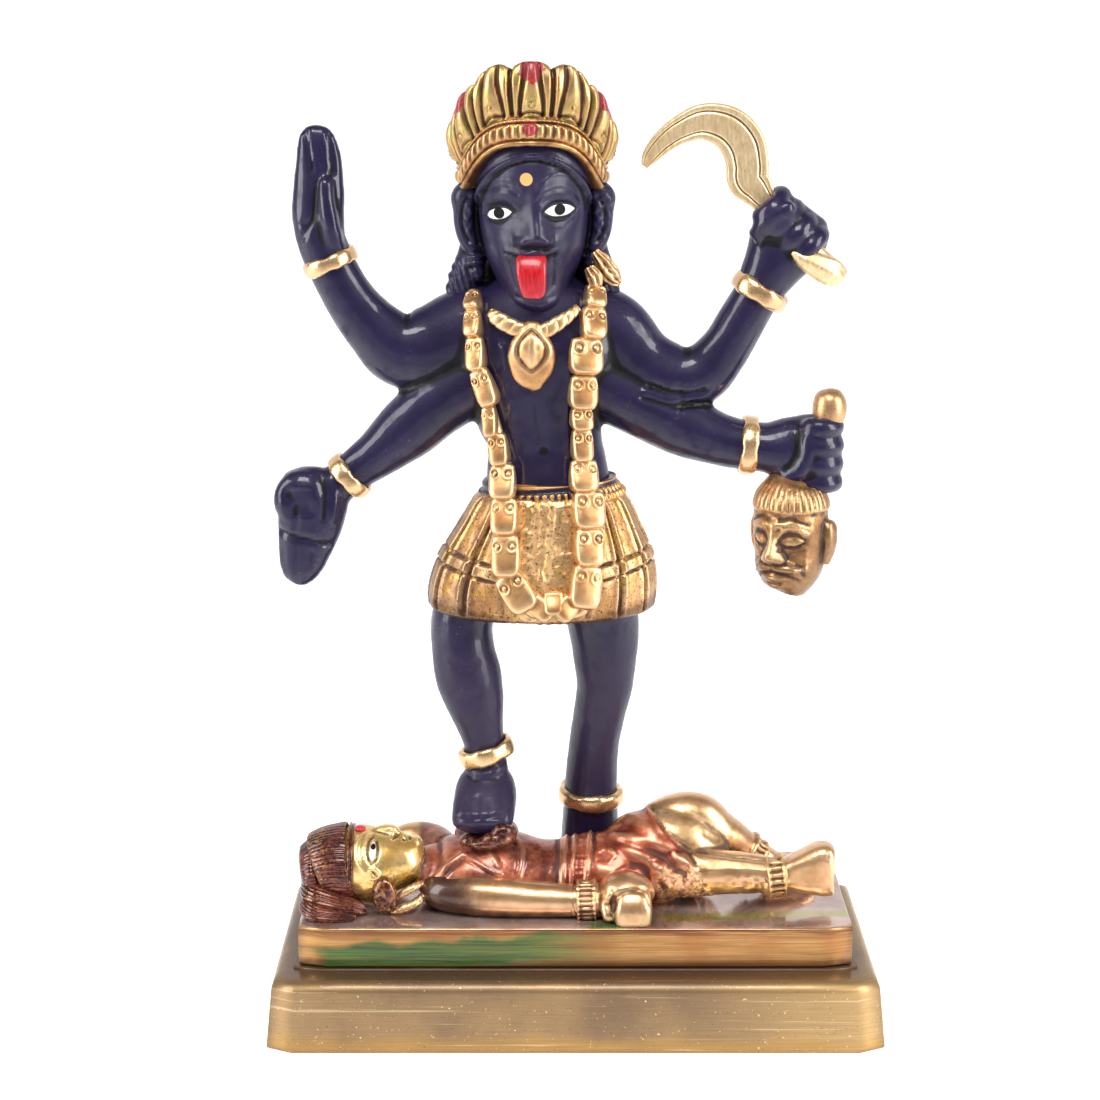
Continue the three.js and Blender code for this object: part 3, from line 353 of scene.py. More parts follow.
# Large primes that scramble the three whole coordinates of a grid corner
SCRAMBLE = np.array([73856093, 19349663, 83492791])


def grain(points, size, seed):
    """Smooth noise from -1 to 1: random values at the corners of cubes of the given size, blended by smooth
    steps in between."""
    p = points / size + 1000 + 17.3 * seed
    cell = np.floor(p).astype(np.int64)
    w = p - cell
    w = w * w * (3 - 2 * w)
    total = np.zeros(len(points))
    for corner in range(8):
        bit = np.array([corner & 1, corner >> 1 & 1, corner >> 2 & 1])
        key = ((cell + bit) * SCRAMBLE).sum(1) + seed * 7919
        key = (key ^ (key >> 13)) * 1274126177 % 2147483647
        key = (key ^ (key >> 15)) * 48271 % 2147483647
        total += (key / 1073741823.5 - 1) * np.prod(np.where(bit, w, 1 - w), 1)
    return total


def roughen(shape, *grains):
    """Presses grain into a shape: how far, how coarse and its seed, for each layer."""
    return shape.press(sum(far * grain(shape.points, size, seed) for far, size, seed in grains))


def ribbed(count, deep, spread, rim):
    """Relief of a cuff: upright ribs between two rims."""
    def relief(turn, share):
        return (deep * np.cos(2 * np.pi * count * turn) * hill(share - 0.5, spread)
                + rim * hill(share - 0.27, 0.06) + rim * hill(share - 0.74, 0.06))
    return relief


def strands(count, deep, twist):
    """Relief of strands that run along a limb and turn round it by twist."""
    def relief(turn, share):
        return deep * np.cos(2 * np.pi * count * turn + twist * share)
    return relief


# Shader arithmetic

class Flow:
    """A shader socket that takes part in arithmetic: operators on values add Math nodes."""

    def __init__(self, finish, socket):
        self.finish, self.socket = finish, socket

    def _math(self, operation, *values):
        node = self.finish.tree.nodes.new("ShaderNodeMath")
        node.operation = operation
        for i, value in enumerate(values):
            self.finish.feed(node.inputs[i], value)
        return Flow(self.finish, node.outputs[0])

    def __add__(self, other):
        return self._math("ADD", self, other)

    def __radd__(self, other):
        return self._math("ADD", other, self)

    def __sub__(self, other):
        return self._math("SUBTRACT", self, other)

    def __rsub__(self, other):
        return self._math("SUBTRACT", other, self)

    def __mul__(self, other):
        return self._math("MULTIPLY", self, other)

    def __rmul__(self, other):
        return self._math("MULTIPLY", other, self)

    def __truediv__(self, other):
        return self._math("DIVIDE", self, other)

    def __pow__(self, other):
        return self._math("POWER", self, other)

    def __abs__(self):
        return self._math("ABSOLUTE", self)

    def least(self, other):
        return self._math("MINIMUM", self, other)

    def most(self, other):
        return self._math("MAXIMUM", self, other)

    def step(self, low, high):
        """0 under low, 1 over high, smooth between."""
        node = self.finish.node("ShaderNodeMapRange", dict(interpolation_type="SMOOTHSTEP"),
                                {"Value": self, "From Min": low, "From Max": high})
        return Flow(self.finish, node.outputs["Result"])


class Finish:
    """A material under construction around one Principled BSDF."""

    def __init__(self, name, **constants):
        self.material = bpy.data.materials.new(name)
        self.material.use_nodes = True
        self.tree = self.material.node_tree
        self.shader = self.tree.nodes["Principled BSDF"]
        self.base = None
        for key, value in constants.items():
            self.shader.inputs[key.replace("_", " ")].default_value = value
        spot = self.node("ShaderNodeTexCoord").outputs["Object"]
        scaled = self.node("ShaderNodeVectorMath", dict(operation="SCALE"), {0: spot, "Scale": 1 / MM})
        self.spot = scaled.outputs[0]
        parts = self.node("ShaderNodeSeparateXYZ", {}, {0: self.spot})
        self.x, self.y, self.z = [Flow(self, parts.outputs[i]) for i in range(3)]

    def feed(self, socket, value):
        """Links a socket or a flow into an input, or sets a plain value on it."""
        value = value.socket if isinstance(value, Flow) else value
        if isinstance(value, bpy.types.NodeSocket):
            self.tree.links.new(value, socket)
        else:
            socket.default_value = value

    def node(self, kind, settings=None, inputs=None):
        """A node of any type: its settings first, then the values or links of its sockets."""
        node = self.tree.nodes.new(kind)
        for key, value in (settings or {}).items():
            setattr(node, key, value)
        for key, value in (inputs or {}).items():
            self.feed(node.inputs[key], value)
        return node

    def value(self, name):
        """A value stored on the points of the mesh."""
        return Flow(self, self.node("ShaderNodeAttribute", dict(attribute_name=name)).outputs["Fac"])

    def noise(self, scale, detail=3, rough=0.55, stretch=None):
        """Noise in millimetres: scale is features per millimetre, stretch multiplies the place first."""
        spot = self.spot
        if stretch:
            spot = self.node("ShaderNodeVectorMath", dict(operation="MULTIPLY"),
                             {0: spot, 1: stretch}).outputs[0]
        node = self.node("ShaderNodeTexNoise", {}, {"Vector": spot, "Scale": scale, "Detail": detail,
                                                    "Roughness": rough})
        return Flow(self, node.outputs["Fac"])

    def mix(self, share, first, second):
        """A colour between two colours."""
        node = self.node("ShaderNodeMix", dict(data_type="RGBA"))
        for index, value in ((0, share), (6, first), (7, second)):
            self.feed(node.inputs[index], colour(value) if isinstance(value, tuple) else value)
        return node.outputs[2]

    def lay(self, share, over):
        """Lays a colour over the base colour by a share."""
        self.base = self.mix(share, self.base, over)

    def bump(self, height, strength, distance):
        """A Bump node on the shader's normal; distance is in millimetres."""
        node = self.node("ShaderNodeBump", {}, {"Height": height, "Strength": strength,
                                                "Distance": distance * MM})
        self.feed(self.shader.inputs["Normal"], node.outputs[0])

    def paint(self, **sockets):
        """Feeds the base colour and the shader's other sockets and hands back the material."""
        for key, value in dict(Base_Color=self.base, **sockets).items():
            self.feed(self.shader.inputs[key.replace("_", " ")], value)
        return self.material


def colour(rgb):
    """A screen colour of 0 to 255 as the linear colour that a shader takes."""
    c = np.array(rgb) / 255
    linear = np.where(c <= 0.04045, c / 12.92, ((c + 0.055) / 1.055) ** 2.4)
    return (*[float(v) for v in linear], 1.0)


# Finishes

def black_paint(name="black_paint", eyes=False):
    """Near-black paint with a violet tint under clear lacquer, dull in its hollows and darkened there as painted
    shade, thin and brassy on a few sharp edges, greyer and matt on the legs. On the face the lacquer is satin,
    and there are the painted eyes and the spot on the brow."""
    f = Finish(name, Coat_Roughness=0.24 if eyes else 0.09, Coat_IOR=1.5, Specular_IOR_Level=0.22)
    hollow = f.value("hollow")
    cloudy = f.noise(0.16, 4)
    fine = f.noise(1.3, 3)
    f.base = f.mix(cloudy.step(0.3, 0.75), (25, 19, 48), (33, 26, 58))
    leg = f.z.step(SLAB_TOP + 12, SLAB_TOP + 24) * (1 - f.z.step(SLAB_TOP + 52, SLAB_TOP + 62))
    f.lay(leg * 0.7, (48, 40, 60))
    # painted shade: the hollows darkened to near black
    f.lay(hollow.step(0.1, 0.7), (5, 4, 10))
    worn = (hollow * -1).step(0.6, 0.95) * fine.step(0.62, 0.74) * cloudy.step(0.5, 0.6)
    f.lay(worn * 0.5, (124, 88, 56))
    rough = 0.32 + 0.18 * fine + 0.12 * hollow.step(0.1, 0.7)
    coat = (0.62 - 0.5 * hollow.step(0.2, 0.8)) * f.noise(0.35, 3).step(0.15, 0.55)
    coat = coat * (1 - 0.75 * leg)
    metal = 0.0
    if eyes:
        f.lay(0.15 * (1 - hollow.step(0.1, 0.7)), (52, 44, 74))
        rough, metal, pupils = painted_eyes(f, rough)
        coat = coat * (1 - pupils) * 0.75
        rough = rough + 0.06
    f.bump(f.noise(2.2, 3) * 0.5 + f.noise(0.5, 3) * 1.0, 0.45, 0.16)
    return f.paint(Roughness=rough, Coat_Weight=coat, Metallic=metal)


def almond(f, x, z, half_wide, half_tall, tilt=0.0):
    """Mask of an almond with blunt corners: half_tall * (1 - |u| to the power 2.6) less the height off its middle
    line, where u is the place across as a share of half_wide."""
    u = (f.x - x) / half_wide
    v = abs(f.z - z - tilt * (f.x - x))
    return (half_tall * (1 - abs(u) ** 2.6) - v).step(-0.05, 0.12)


def disc(f, x, z, radius):
    """Mask of a disc seen from the front."""
    far = ((f.x - x) ** 2 + (f.z - z) ** 2) ** 0.5
    return 1 - far.step(radius - 0.08, radius + 0.08)


# Each painted eye: x and height of its middle, slope, half width and half height. The pupil's radius, the width
# of the dark line round an eye, and the spot's x, height and radius.
EYES = [(-15.5, 145.85, 0.16, 2.6, 1.1), (-3.35, 146.65, 0.05, 3, 1.15)]
PUPIL, EYE_LINE = 1.12, 0.3
BROW_SPOT = (-10.0, 152.9, 1.25)


def painted_eyes(f, rough):
    """White almonds with black pupils, and a gold spot between the brows, on the front of the face. Gives back
    the roughness, how metallic it is, and the mask of the pupils."""
    front = 1 - f.y.step(-7, -6)
    white, dark, rim = 0.0, 0.0, 0.0
    for x, z, tilt, wide, tall in EYES:
        white = almond(f, x, z + SLAB_TOP, wide, tall, tilt) + white
        rim = almond(f, x, z + SLAB_TOP, wide + EYE_LINE, tall + EYE_LINE, tilt) + rim
        dark = disc(f, x + 0.02, z + SLAB_TOP + 0.12, PUPIL) + dark
    white = white.least(1.0) * front
    dark = dark.least(1.0) * rim.least(1.0) * front
    spot = disc(f, BROW_SPOT[0], BROW_SPOT[1] + SLAB_TOP, BROW_SPOT[2]) * front
    f.lay(rim.least(1.0) * front, (14, 11, 20))
    f.lay(white, (240, 238, 238))
    f.lay(dark, (6, 5, 9))
    f.lay(spot, (238, 190, 118))
    rough = rough * (1 - 0.5 * white) * (1 - 0.3 * spot) + 0.4 * dark
    return rough, spot * 0.4, dark


def antique_brass(name="antique_brass", dark=(58, 30, 14), green=0.25, pitted=0.0, shine=0.3, aged=0.0):
    """Brass with a painted highlight on the high spots and brown in the hollows, patina deepened as painted shade,
    with faint yellow-green patches, all under clear lacquer. Pitted adds the skirt's dark left side, partly
    painted shade, a bright front, gilt patches, a dark hem that is partly painted shade, and pits, and aged
    makes it browner."""
    f = Finish(name, Coat_Roughness=0.08, Coat_IOR=1.45)
    hollow = f.value("hollow")
    patch = f.noise(0.12, 3)
    fine = f.noise(1.6, 4)
    f.base = f.mix(patch.step(0.3, 0.7), (184, 132, 82), (222, 176, 122))
    f.lay(f.noise(0.22, 3).step(0.52, 0.75) * green, (170, 146, 56))
    f.lay(f.noise(0.5, 4, 0.65).step(0.52, 0.74) * 0.45, (142, 86, 46))
    f.lay(aged * patch.step(0.2, 0.6), (134, 90, 54))
    # painted highlight: the high spots lightened to pale gold
    f.lay((hollow * -1).step(0.15, 0.85) * (0.55 - 0.5 * aged), (246, 212, 160))
    # brown in the hollows: patina, deepened as painted shade
    patina_and_shade = (hollow + 0.6 * (fine - 0.48)).step(0.02, 0.66)
    f.lay(patina_and_shade * 0.94, dark)
    if pitted:
        # the skirt's left side darkened: browner patina, with painted shade
        f.lay((1 - (f.x + 8 * (patch - 0.5)).step(-27, -17)) * pitted, (88, 60, 44))
        inner = f.x.step(-14, -11) * (1 - f.x.step(-3, 0)) * (1 - f.y.step(-11, -8))
        f.lay(inner * pitted, (250, 208, 146))
        gilt = f.noise(0.28, 3).step(0.5, 0.62) * fine.step(0.35, 0.55)
        f.lay(gilt * pitted, (194, 150, 60))
        # pits, and the hem darkened along its lower edge, partly as painted shade under it
        level = f.z - 0.006 * (f.x + 7) ** 2 + 2.6 * (fine - 0.5) + 2 * (patch - 0.5)
        hem = 1 - level.step(SLAB_TOP + 62.0, SLAB_TOP + 64.2)
        pits = 1 - f.noise(2.2, 3).step(0.32, 0.45)
        f.lay((pits + hem * 0.8).least(1.0) * (0.35 + pitted), dark)
    rough = shine + 0.14 * fine + 0.3 * patina_and_shade
    f.bump(f.noise(3.0, 3) * 0.5 + f.noise(0.8, 2) * 0.6, 0.35, 0.1 + 0.12 * pitted)
    return f.paint(Roughness=rough, Metallic=0.88 - 0.6 * patina_and_shade, Coat_Weight=0.4)


def belt_paint():
    """Black paint over the belt with brass rubbed free on its teeth and cord between the strands, more so on
    the viewer's right."""
    f = Finish("belt_paint", Coat_Roughness=0.1, Coat_Weight=0.3)
    hollow = f.value("hollow")
    fine = f.noise(1.4, 3)
    bare = (hollow * -1 + 0.8 * (fine - 0.5)).step(0.3, 0.65) * f.x.step(-16, -8)
    bare = bare.most(f.x.step(2.5, 5.5) * fine.step(0.3, 0.45) * (1 - hollow.step(0.2, 0.5)))
    f.base = f.mix(bare, (26, 19, 38), (214, 158, 96))
    return f.paint(Roughness=0.34 + 0.1 * fine, Metallic=0.85 * bare)


# Standing figure

def beside(middle, side, spots):
    """Spots on one side of a middle: each is how far out it lies, and then whatever follows."""
    return [(middle + side * out, *rest) for out, *rest in spots]


def finger(joints, radius, facing=BACK):
    """A tapering limb through its joints with a round tip."""
    joints = np.asarray(joints, float)
    last = len(joints) - 1
    way = joints[-1] - joints[-2]
    way /= np.linalg.norm(way)
    rings = [[*p, radius * (1 - 0.15 * i / last)] for i, p in enumerate(joints)]
    rings += [[*(joints[-1] + way * radius * far), radius * size] for far, size in ((0.55, 0.6), (0.78, 0.2))]
    return limb(rings, 16, 20, facing)


def torso():
    """Chest and waist, in at the belt and broad at the shoulders."""
    return limb([(-5.4, 0.4, 80, 13.8, 9.8), (-5.6, 0.3, 87, 13.2, 9.4), (-6, 0.2, 94.5, 12.3, 9),
                 (-6.3, 0, 99, 11.7, 8.7), (-7.2, 0, 103.5, 13.4, 9), (-7.8, 0, 111, 16.6, 9.8),
                 (-8, 0, 119, 18, 10), (-8.2, 0.6, 126, 16.6, 8.6), (-8.3, 1.4, 130.5, 10, 6.8),
                 (-8.4, 1.6, 134, 7, 6.5), (-8.4, 1.4, 139, 6.5, 6.5)], 60, 80)


def arms():
    """The four arms down to their wrists, the viewer's left first."""
    rings = [
        [(-13, 1.5, 122, 9, 7.6), (-21.6, 1.5, 120.6, 9.4, 7.2), (-29, 1, 117.6, 8.9, 6.6),
         (-35.8, 0.4, 117.2, 7.8, 6), (-41, 0, 121.2, 6.3, 5.5), (-45.7, -0.6, 127, 5.3, 5),
         (-48.9, -1, 132.8, 5, 4.6), (-51.2, -1.4, 138.5, 4.9, 4.2)],
        [(-13, 0.5, 114.5, 8, 7.2), (-21.5, 0.2, 110.4, 7.2, 7), (-28.5, -0.2, 106, 6.8, 6.5),
         (-34.8, -0.6, 100.8, 6.5, 5.8), (-40.3, -1, 96.2, 5.2, 5), (-45.2, -1.4, 92.6, 4.4, 4.2),
         (-50, -2, 88.8, 4.2, 3.8)],
        [(-3, 1.5, 122, 9, 7.6), (6, 1.5, 120.4, 9.2, 7.2), (13.6, 1, 114, 7.6, 6.6), (20.5, 0.4, 111.2, 7.1, 6),
         (26, 0, 112.4, 6.2, 5.5), (30.5, -0.4, 117.4, 5.2, 5), (34, -0.8, 123.5, 4.9, 4.8),
         (38, -1.2, 130.6, 4.7, 4.6)],
        [(-3, 0.5, 114.5, 8, 7.2), (6, 0.2, 109.8, 7.2, 7), (14, -0.2, 105.8, 6.9, 6.6),
         (22.5, -0.6, 101.4, 6.4, 6), (30, -1, 98.6, 5.4, 5.3), (36, -1.4, 97.4, 5.1, 5), (41, -1.6, 97, 5.2, 5)],
    ]
    return [limb(r, 40, 70) for r in rings]


def raised_hand():
    """Palm to the viewer: the four fingers closed into one flat form, and the thumb's ridge up the palm."""
    palm = limb([(-50.6, -1.4, 135, 4.4, 3.8), (-51.7, -1.7, 139.5, 4.9, 3.7), (-52.2, -2, 144.5, 5.3, 3.4),
                 (-52, -2.2, 150, 5.2, 2.9), (-51.8, -2.4, 155.5, 4.7, 2.4), (-52.1, -2.5, 160, 3.9, 2),
                 (-52.2, -2.5, 162.2, 2.6, 1.4), (-52.2, -2.5, 163, 1.2, 0.7)], 40, 60)
    thumb = finger([(-48.3, -3.2, 137), (-49.3, -5, 142.5), (-50.1, -5, 147.5), (-50.5, -4.7, 151.4)], 1.95)
    return [palm, thumb]


def lowered_hand():
    """Palm to the viewer: a round palm with a raised rim, and the fingers merged in a taper below it."""
    palm = limb([(-54.8, -2.2, 93.2, 1.8, 1.4), (-54.8, -2.4, 91.4, 5.8, 3.2), (-54.6, -2.8, 87, 7.6, 4.4),
                 (-55, -3.2, 82, 6.9, 4.2), (-56.3, -3.6, 76, 5.6, 3.2), (-57.4, -3.9, 71.8, 4.3, 2.5),
                 (-58.1, -4, 69.4, 2.6, 1.5), (-58.4, -4, 68.6, 0.9, 0.6)], 40, 60)
    heel = ball(-56.3, -4.4, 86.6, 6.2, 3.4, 6.4)
    return [palm, heel]


def closed_fingers(grip, axis, outward, radius, size, spacing):
    """Four fingers that each wrap from behind a grip over its outer side to the front."""
    turns = np.radians([-110, -60, -10, 40, 90, 135, 165])
    fingers = []
    for k in (-1.5, -0.5, 0.5, 1.5):
        middle = grip + axis * k * spacing
        shrink = 1 - 0.05 * abs(k)
        joints = [middle + radius * shrink * (np.cos(t) * outward + np.sin(t) * FRONT) for t in turns]
        rings = [[*p, size * (1 + 0.1 * np.cos(3 * t))] for p, t in zip(joints, turns)]
        rings.append([*(joints[-1] - outward * size * 0.3 + BACK * size * 0.4), size * 0.4])
        fingers.append(limb(rings, 16, 40, axis))
    return fingers


SICKLE_GRIP = np.array([43.8, -2.6, 142.0])
SICKLE_AXIS = np.array([1, 0, -1]) / np.sqrt(2)


def raised_fist():
    """The fist round the sickle's handle."""
    back = limb([(36.6, -1.2, 128.6, 4.6, 4.4), (40, -1.2, 134.6, 6.2, 5), (42, -1, 138, 7.5, 5.1),
                 (44.2, -0.6, 141.4, 7.6, 4.8), (46.4, -0.4, 144.4, 6.4, 3.5), (47.6, -0.4, 146, 4, 2)], 36, 50)
    thumb = finger([(36.4, -3.4, 140.6), (38.6, -6, 144.2), (42.2, -6.9, 146.8)], 2.05)
    grip = SICKLE_GRIP - SICKLE_AXIS
    return [back, thumb, *closed_fingers(grip, SICKLE_AXIS, np.array([1, 0, 1]) / np.sqrt(2), 3.3, 2.05, 3.7)]


def lowered_fist():
    """The fist that holds the severed head by its hair."""
    back = limb([(39.5, -1.6, 97, 5.3, 5), (43, -1.6, 96.8, 6.6, 5.3), (46.5, -1.2, 96.3, 7.7, 4.8),
                 (50, -0.6, 96.1, 7.6, 4.2), (52.6, -0.4, 96.1, 6, 3), (53.6, -0.4, 96.1, 3.6, 1.6)], 36, 50)
    thumb = finger([(42.5, -4.6, 91.6), (45.4, -6.2, 92.4), (47.4, -6.4, 96), (47.8, -6.2, 99.4)], 1.9)
    grip = np.array([50.4, -3.2, 96.0])
    return [back, thumb, *closed_fingers(grip, UP, RIGHT, 2.9, 2.1, 3.9)]


def legs():
    """Both legs: the left one bends a little and stands on the chest, the right one is straight behind."""
    left = [(-21, 0.6, 68, 7.4, 7.6), (-23.7, 0, 60.5, 6.6, 7), (-23.6, -0.6, 53.5, 6.6, 7),
            (-22.5, -1.4, 48, 7, 7), (-21.2, -1.6, 42.5, 6.2, 6.6), (-20, -1.6, 37, 4.9, 5.8),
            (-19.1, -1.8, 32, 4.2, 4.6), (-18.7, -2, 27, 4.6, 4.8), (-18.6, -2.4, 22, 5, 5.4)]
    right = [(4.5, 1, 68, 8.2, 8.2), (6.1, 2.4, 57.5, 7.5, 7.6), (6.4, 3.4, 50.5, 6.7, 7.2),
             (6.4, 4.6, 44.5, 6, 6.8), (5.2, 6.2, 37, 5.5, 6.6), (4.2, 7.8, 30, 5.4, 6.2), (3.7, 9, 23, 5.6, 5.8),
             (3.5, 9.7, 16, 5.9, 5.8), (3.6, 10.4, 7, 6.6, 6.1)]
    return [limb(left, 40, 80), limb(right, 40, 80)]


def foot(heel, toes, sole):
    """A foot from heel to toes, its toes one round block. Each stop is the share of its length, the height over
    the sole, and both reaches."""
    heel, toes = np.array(heel, float), np.array(toes, float)
    length = np.linalg.norm(toes - heel)
    way = (toes - heel) / length
    stops = [(0, 3.4, 2.4, 2.8), (0.1, 4, 4.8, 4.6), (0.34, 5.6, 6.3, 6.6), (0.55, 5, 6.6, 6),
             (0.8, 3.3, 6.6, 4.2), (0.94, 2.4, 6.2, 3), (1, 1.8, 4.6, 2.2), (1.02, 1.6, 2.4, 1.2)]
    rings = [(*(heel + way * length * share), sole + lift, wide, deep) for share, lift, wide, deep in stops]
    return limb(rings, 44, 60, UP, square=2.4)


def loose_hair():
    """Hair that falls down the back in strands."""
    def relief(turn, share):
        return (0.45 * np.cos(2 * np.pi * 14 * turn + 2 * np.sin(5 * share)) * np.minimum(1, 4 * share)
                + 0.15 * np.cos(2 * np.pi * 37 * turn + 9 * share))
    return limb([(-7.6, 6.4, 88, 3.4, 2.2), (-7.8, 7, 100, 8, 3.4), (-8, 7.6, 112, 12, 4),
                 (-8.2, 7.4, 123, 15, 4.8), (-8.4, 6.6, 130, 16.1, 5.6), (-8.5, 6.2, 137, 14.6, 6.6),
                 (-8.6, 5.8, 145, 13, 7), (-8.6, 5, 153, 11, 6.4)], 160, 120, relief=relief)


def cut_flat(shape, height, left, right):
    """Presses whatever lies under a height, between two x positions, flat onto that height."""
    x, _, z = shape.points.T
    shape.points[(z < height) & (x > left) & (x < right), 2] = height


BETWEEN_FEET = -9


def body():
    """All that is painted black below the head, melted into one skin and then carved."""
    skin = fuse([torso(), *arms(), *raised_hand(), *lowered_hand(), *raised_fist(), *lowered_fist(), *legs(),
                 foot((-18.4, 5), (-19.7, -12.2), LEFT_SOLE), foot((-1.6, 14.6), (13.4, 11.6), RIGHT_SOLE),
                 loose_hair()], 0.66)
    cut_flat(skin, LEFT_SOLE, -40, BETWEEN_FEET)
    cut_flat(skin, RIGHT_SOLE, BETWEEN_FEET, 40)
    engrave(skin, [
        # raised hand: faint lines between the fingers, round the thumb's ridge, and two pits
        ([(-54.4, 161.8), (-53.6, 158), (-52.9, 153.9)], 0.42, 0.5),
        ([(-52, 163), (-51.4, 158.2), (-51.2, 155.4)], 0.38, 0.4),
        ([(-50, 162.6), (-49.3, 158.3), (-48.9, 154.1)], 0.45, 0.55),
        ([(-48.4, 162.4), (-47.4, 160.6)], 0.8, 0.5),
        ([(-51.8, 152.4), (-52.6, 147), (-53.4, 143.6), (-55.6, 140), (-55.8, 138)], 0.45, 0.4),
        ([(-48.4, 151.8), (-48, 146), (-47.2, 142)], 0.4, 0.12),
        ([(-49.3, 153.4)], 0.7, 0.45),
        ([(-54.6, 143.3)], 0.8, 0.35),
        # lowered hand: a dished palm with a sharp right edge, a dimple, and the crease where the fingers start
        ([(-57, 86.5)], 3.4, 0.9),
        ([(-50.6, 91.6), (-49.6, 87.5), (-50.2, 83)], 0.7, -0.5),
        ([(-52.6, 91.8), (-51.6, 87.5), (-52, 83)], 0.5, 0.35),
        ([(-59.4, 88.2)], 1.3, 0.5),
        ([(-58, 85.5), (-57.4, 82.5), (-58, 80.6)], 0.5, 0.35),
        ([(-62, 80.6), (-58.4, 79.4), (-54, 78.4), (-51, 77.2)], 0.6, 0.6),
        ([(-60.6, 76.5), (-60.2, 72), (-59.6, 69.6)], 0.4, 0.18),
        ([(-57.4, 76.5), (-57.8, 72), (-57.8, 69.4)], 0.4, 0.22),
        ([(-54.6, 76), (-55.4, 72.5), (-56, 70.4)], 0.4, 0.2),
        # waist, breastbone, a ridge beside the left strand, and the fold above the elbow on the right
        ([(-6.6, 97.5)], 1, 0.5),
        ([(-9.2, 118), (-8.6, 108), (-7.6, 100)], 1.2, 0.22),
        ([(-14.9, 119.6), (-14, 116), (-14.4, 112), (-13, 107), (-13.2, 102), (-11.8, 96)], 0.5, -0.45),
        ([(-0.9, 121), (-1.6, 116), (-1.2, 111), (-2, 105), (-1.6, 99)], 0.5, -0.3),
        ([(15, 110.8), (22, 108.9), (27, 109.8)], 0.45, 0.6),
        ([(14, 109.6), (20, 107.8), (27, 108.3)], 0.45, -0.45),
        ([(13.5, 108.2), (20, 106.4), (27, 106.6)], 0.45, 0.55),
        ([(20.5, 110.6), (22, 107.6), (21.6, 105.4)], 0.5, 0.35),
        # knee and shin of the left leg
        ([(-25.6, 52.5), (-23.2, 51.4), (-20.4, 52.6)], 0.8, 0.2),
        ([(-25.6, 45.5), (-23, 44.6), (-20.2, 46)], 0.7, 0.18),
        # left foot: a fold under the anklet, the edge of the sole, and short lines between the toes
        ([(-24.5, 30), (-20, 29), (-15.5, 30)], 0.5, 0.45),
        ([(-24.5, 28.6), (-20, 27.5), (-15.5, 28.6)], 0.5, -0.35),
        ([(-25.9, 19.2), (-23.3, 20), (-20.1, 20.2), (-15.4, 20.7)], 0.5, 0.5),
        ([(-22.9, 23.4), (-23, 20.4)], 0.35, 0.22), ([(-20.4, 24), (-20.5, 20.4)], 0.35, 0.26),
        ([(-17.9, 23.4), (-17.8, 20.6)], 0.35, 0.22),
    ])
    return roughen(skin, (0.05, 3.1, 3), (0.03, 1.3, 4))


HEAD_MIDDLE = -8.7


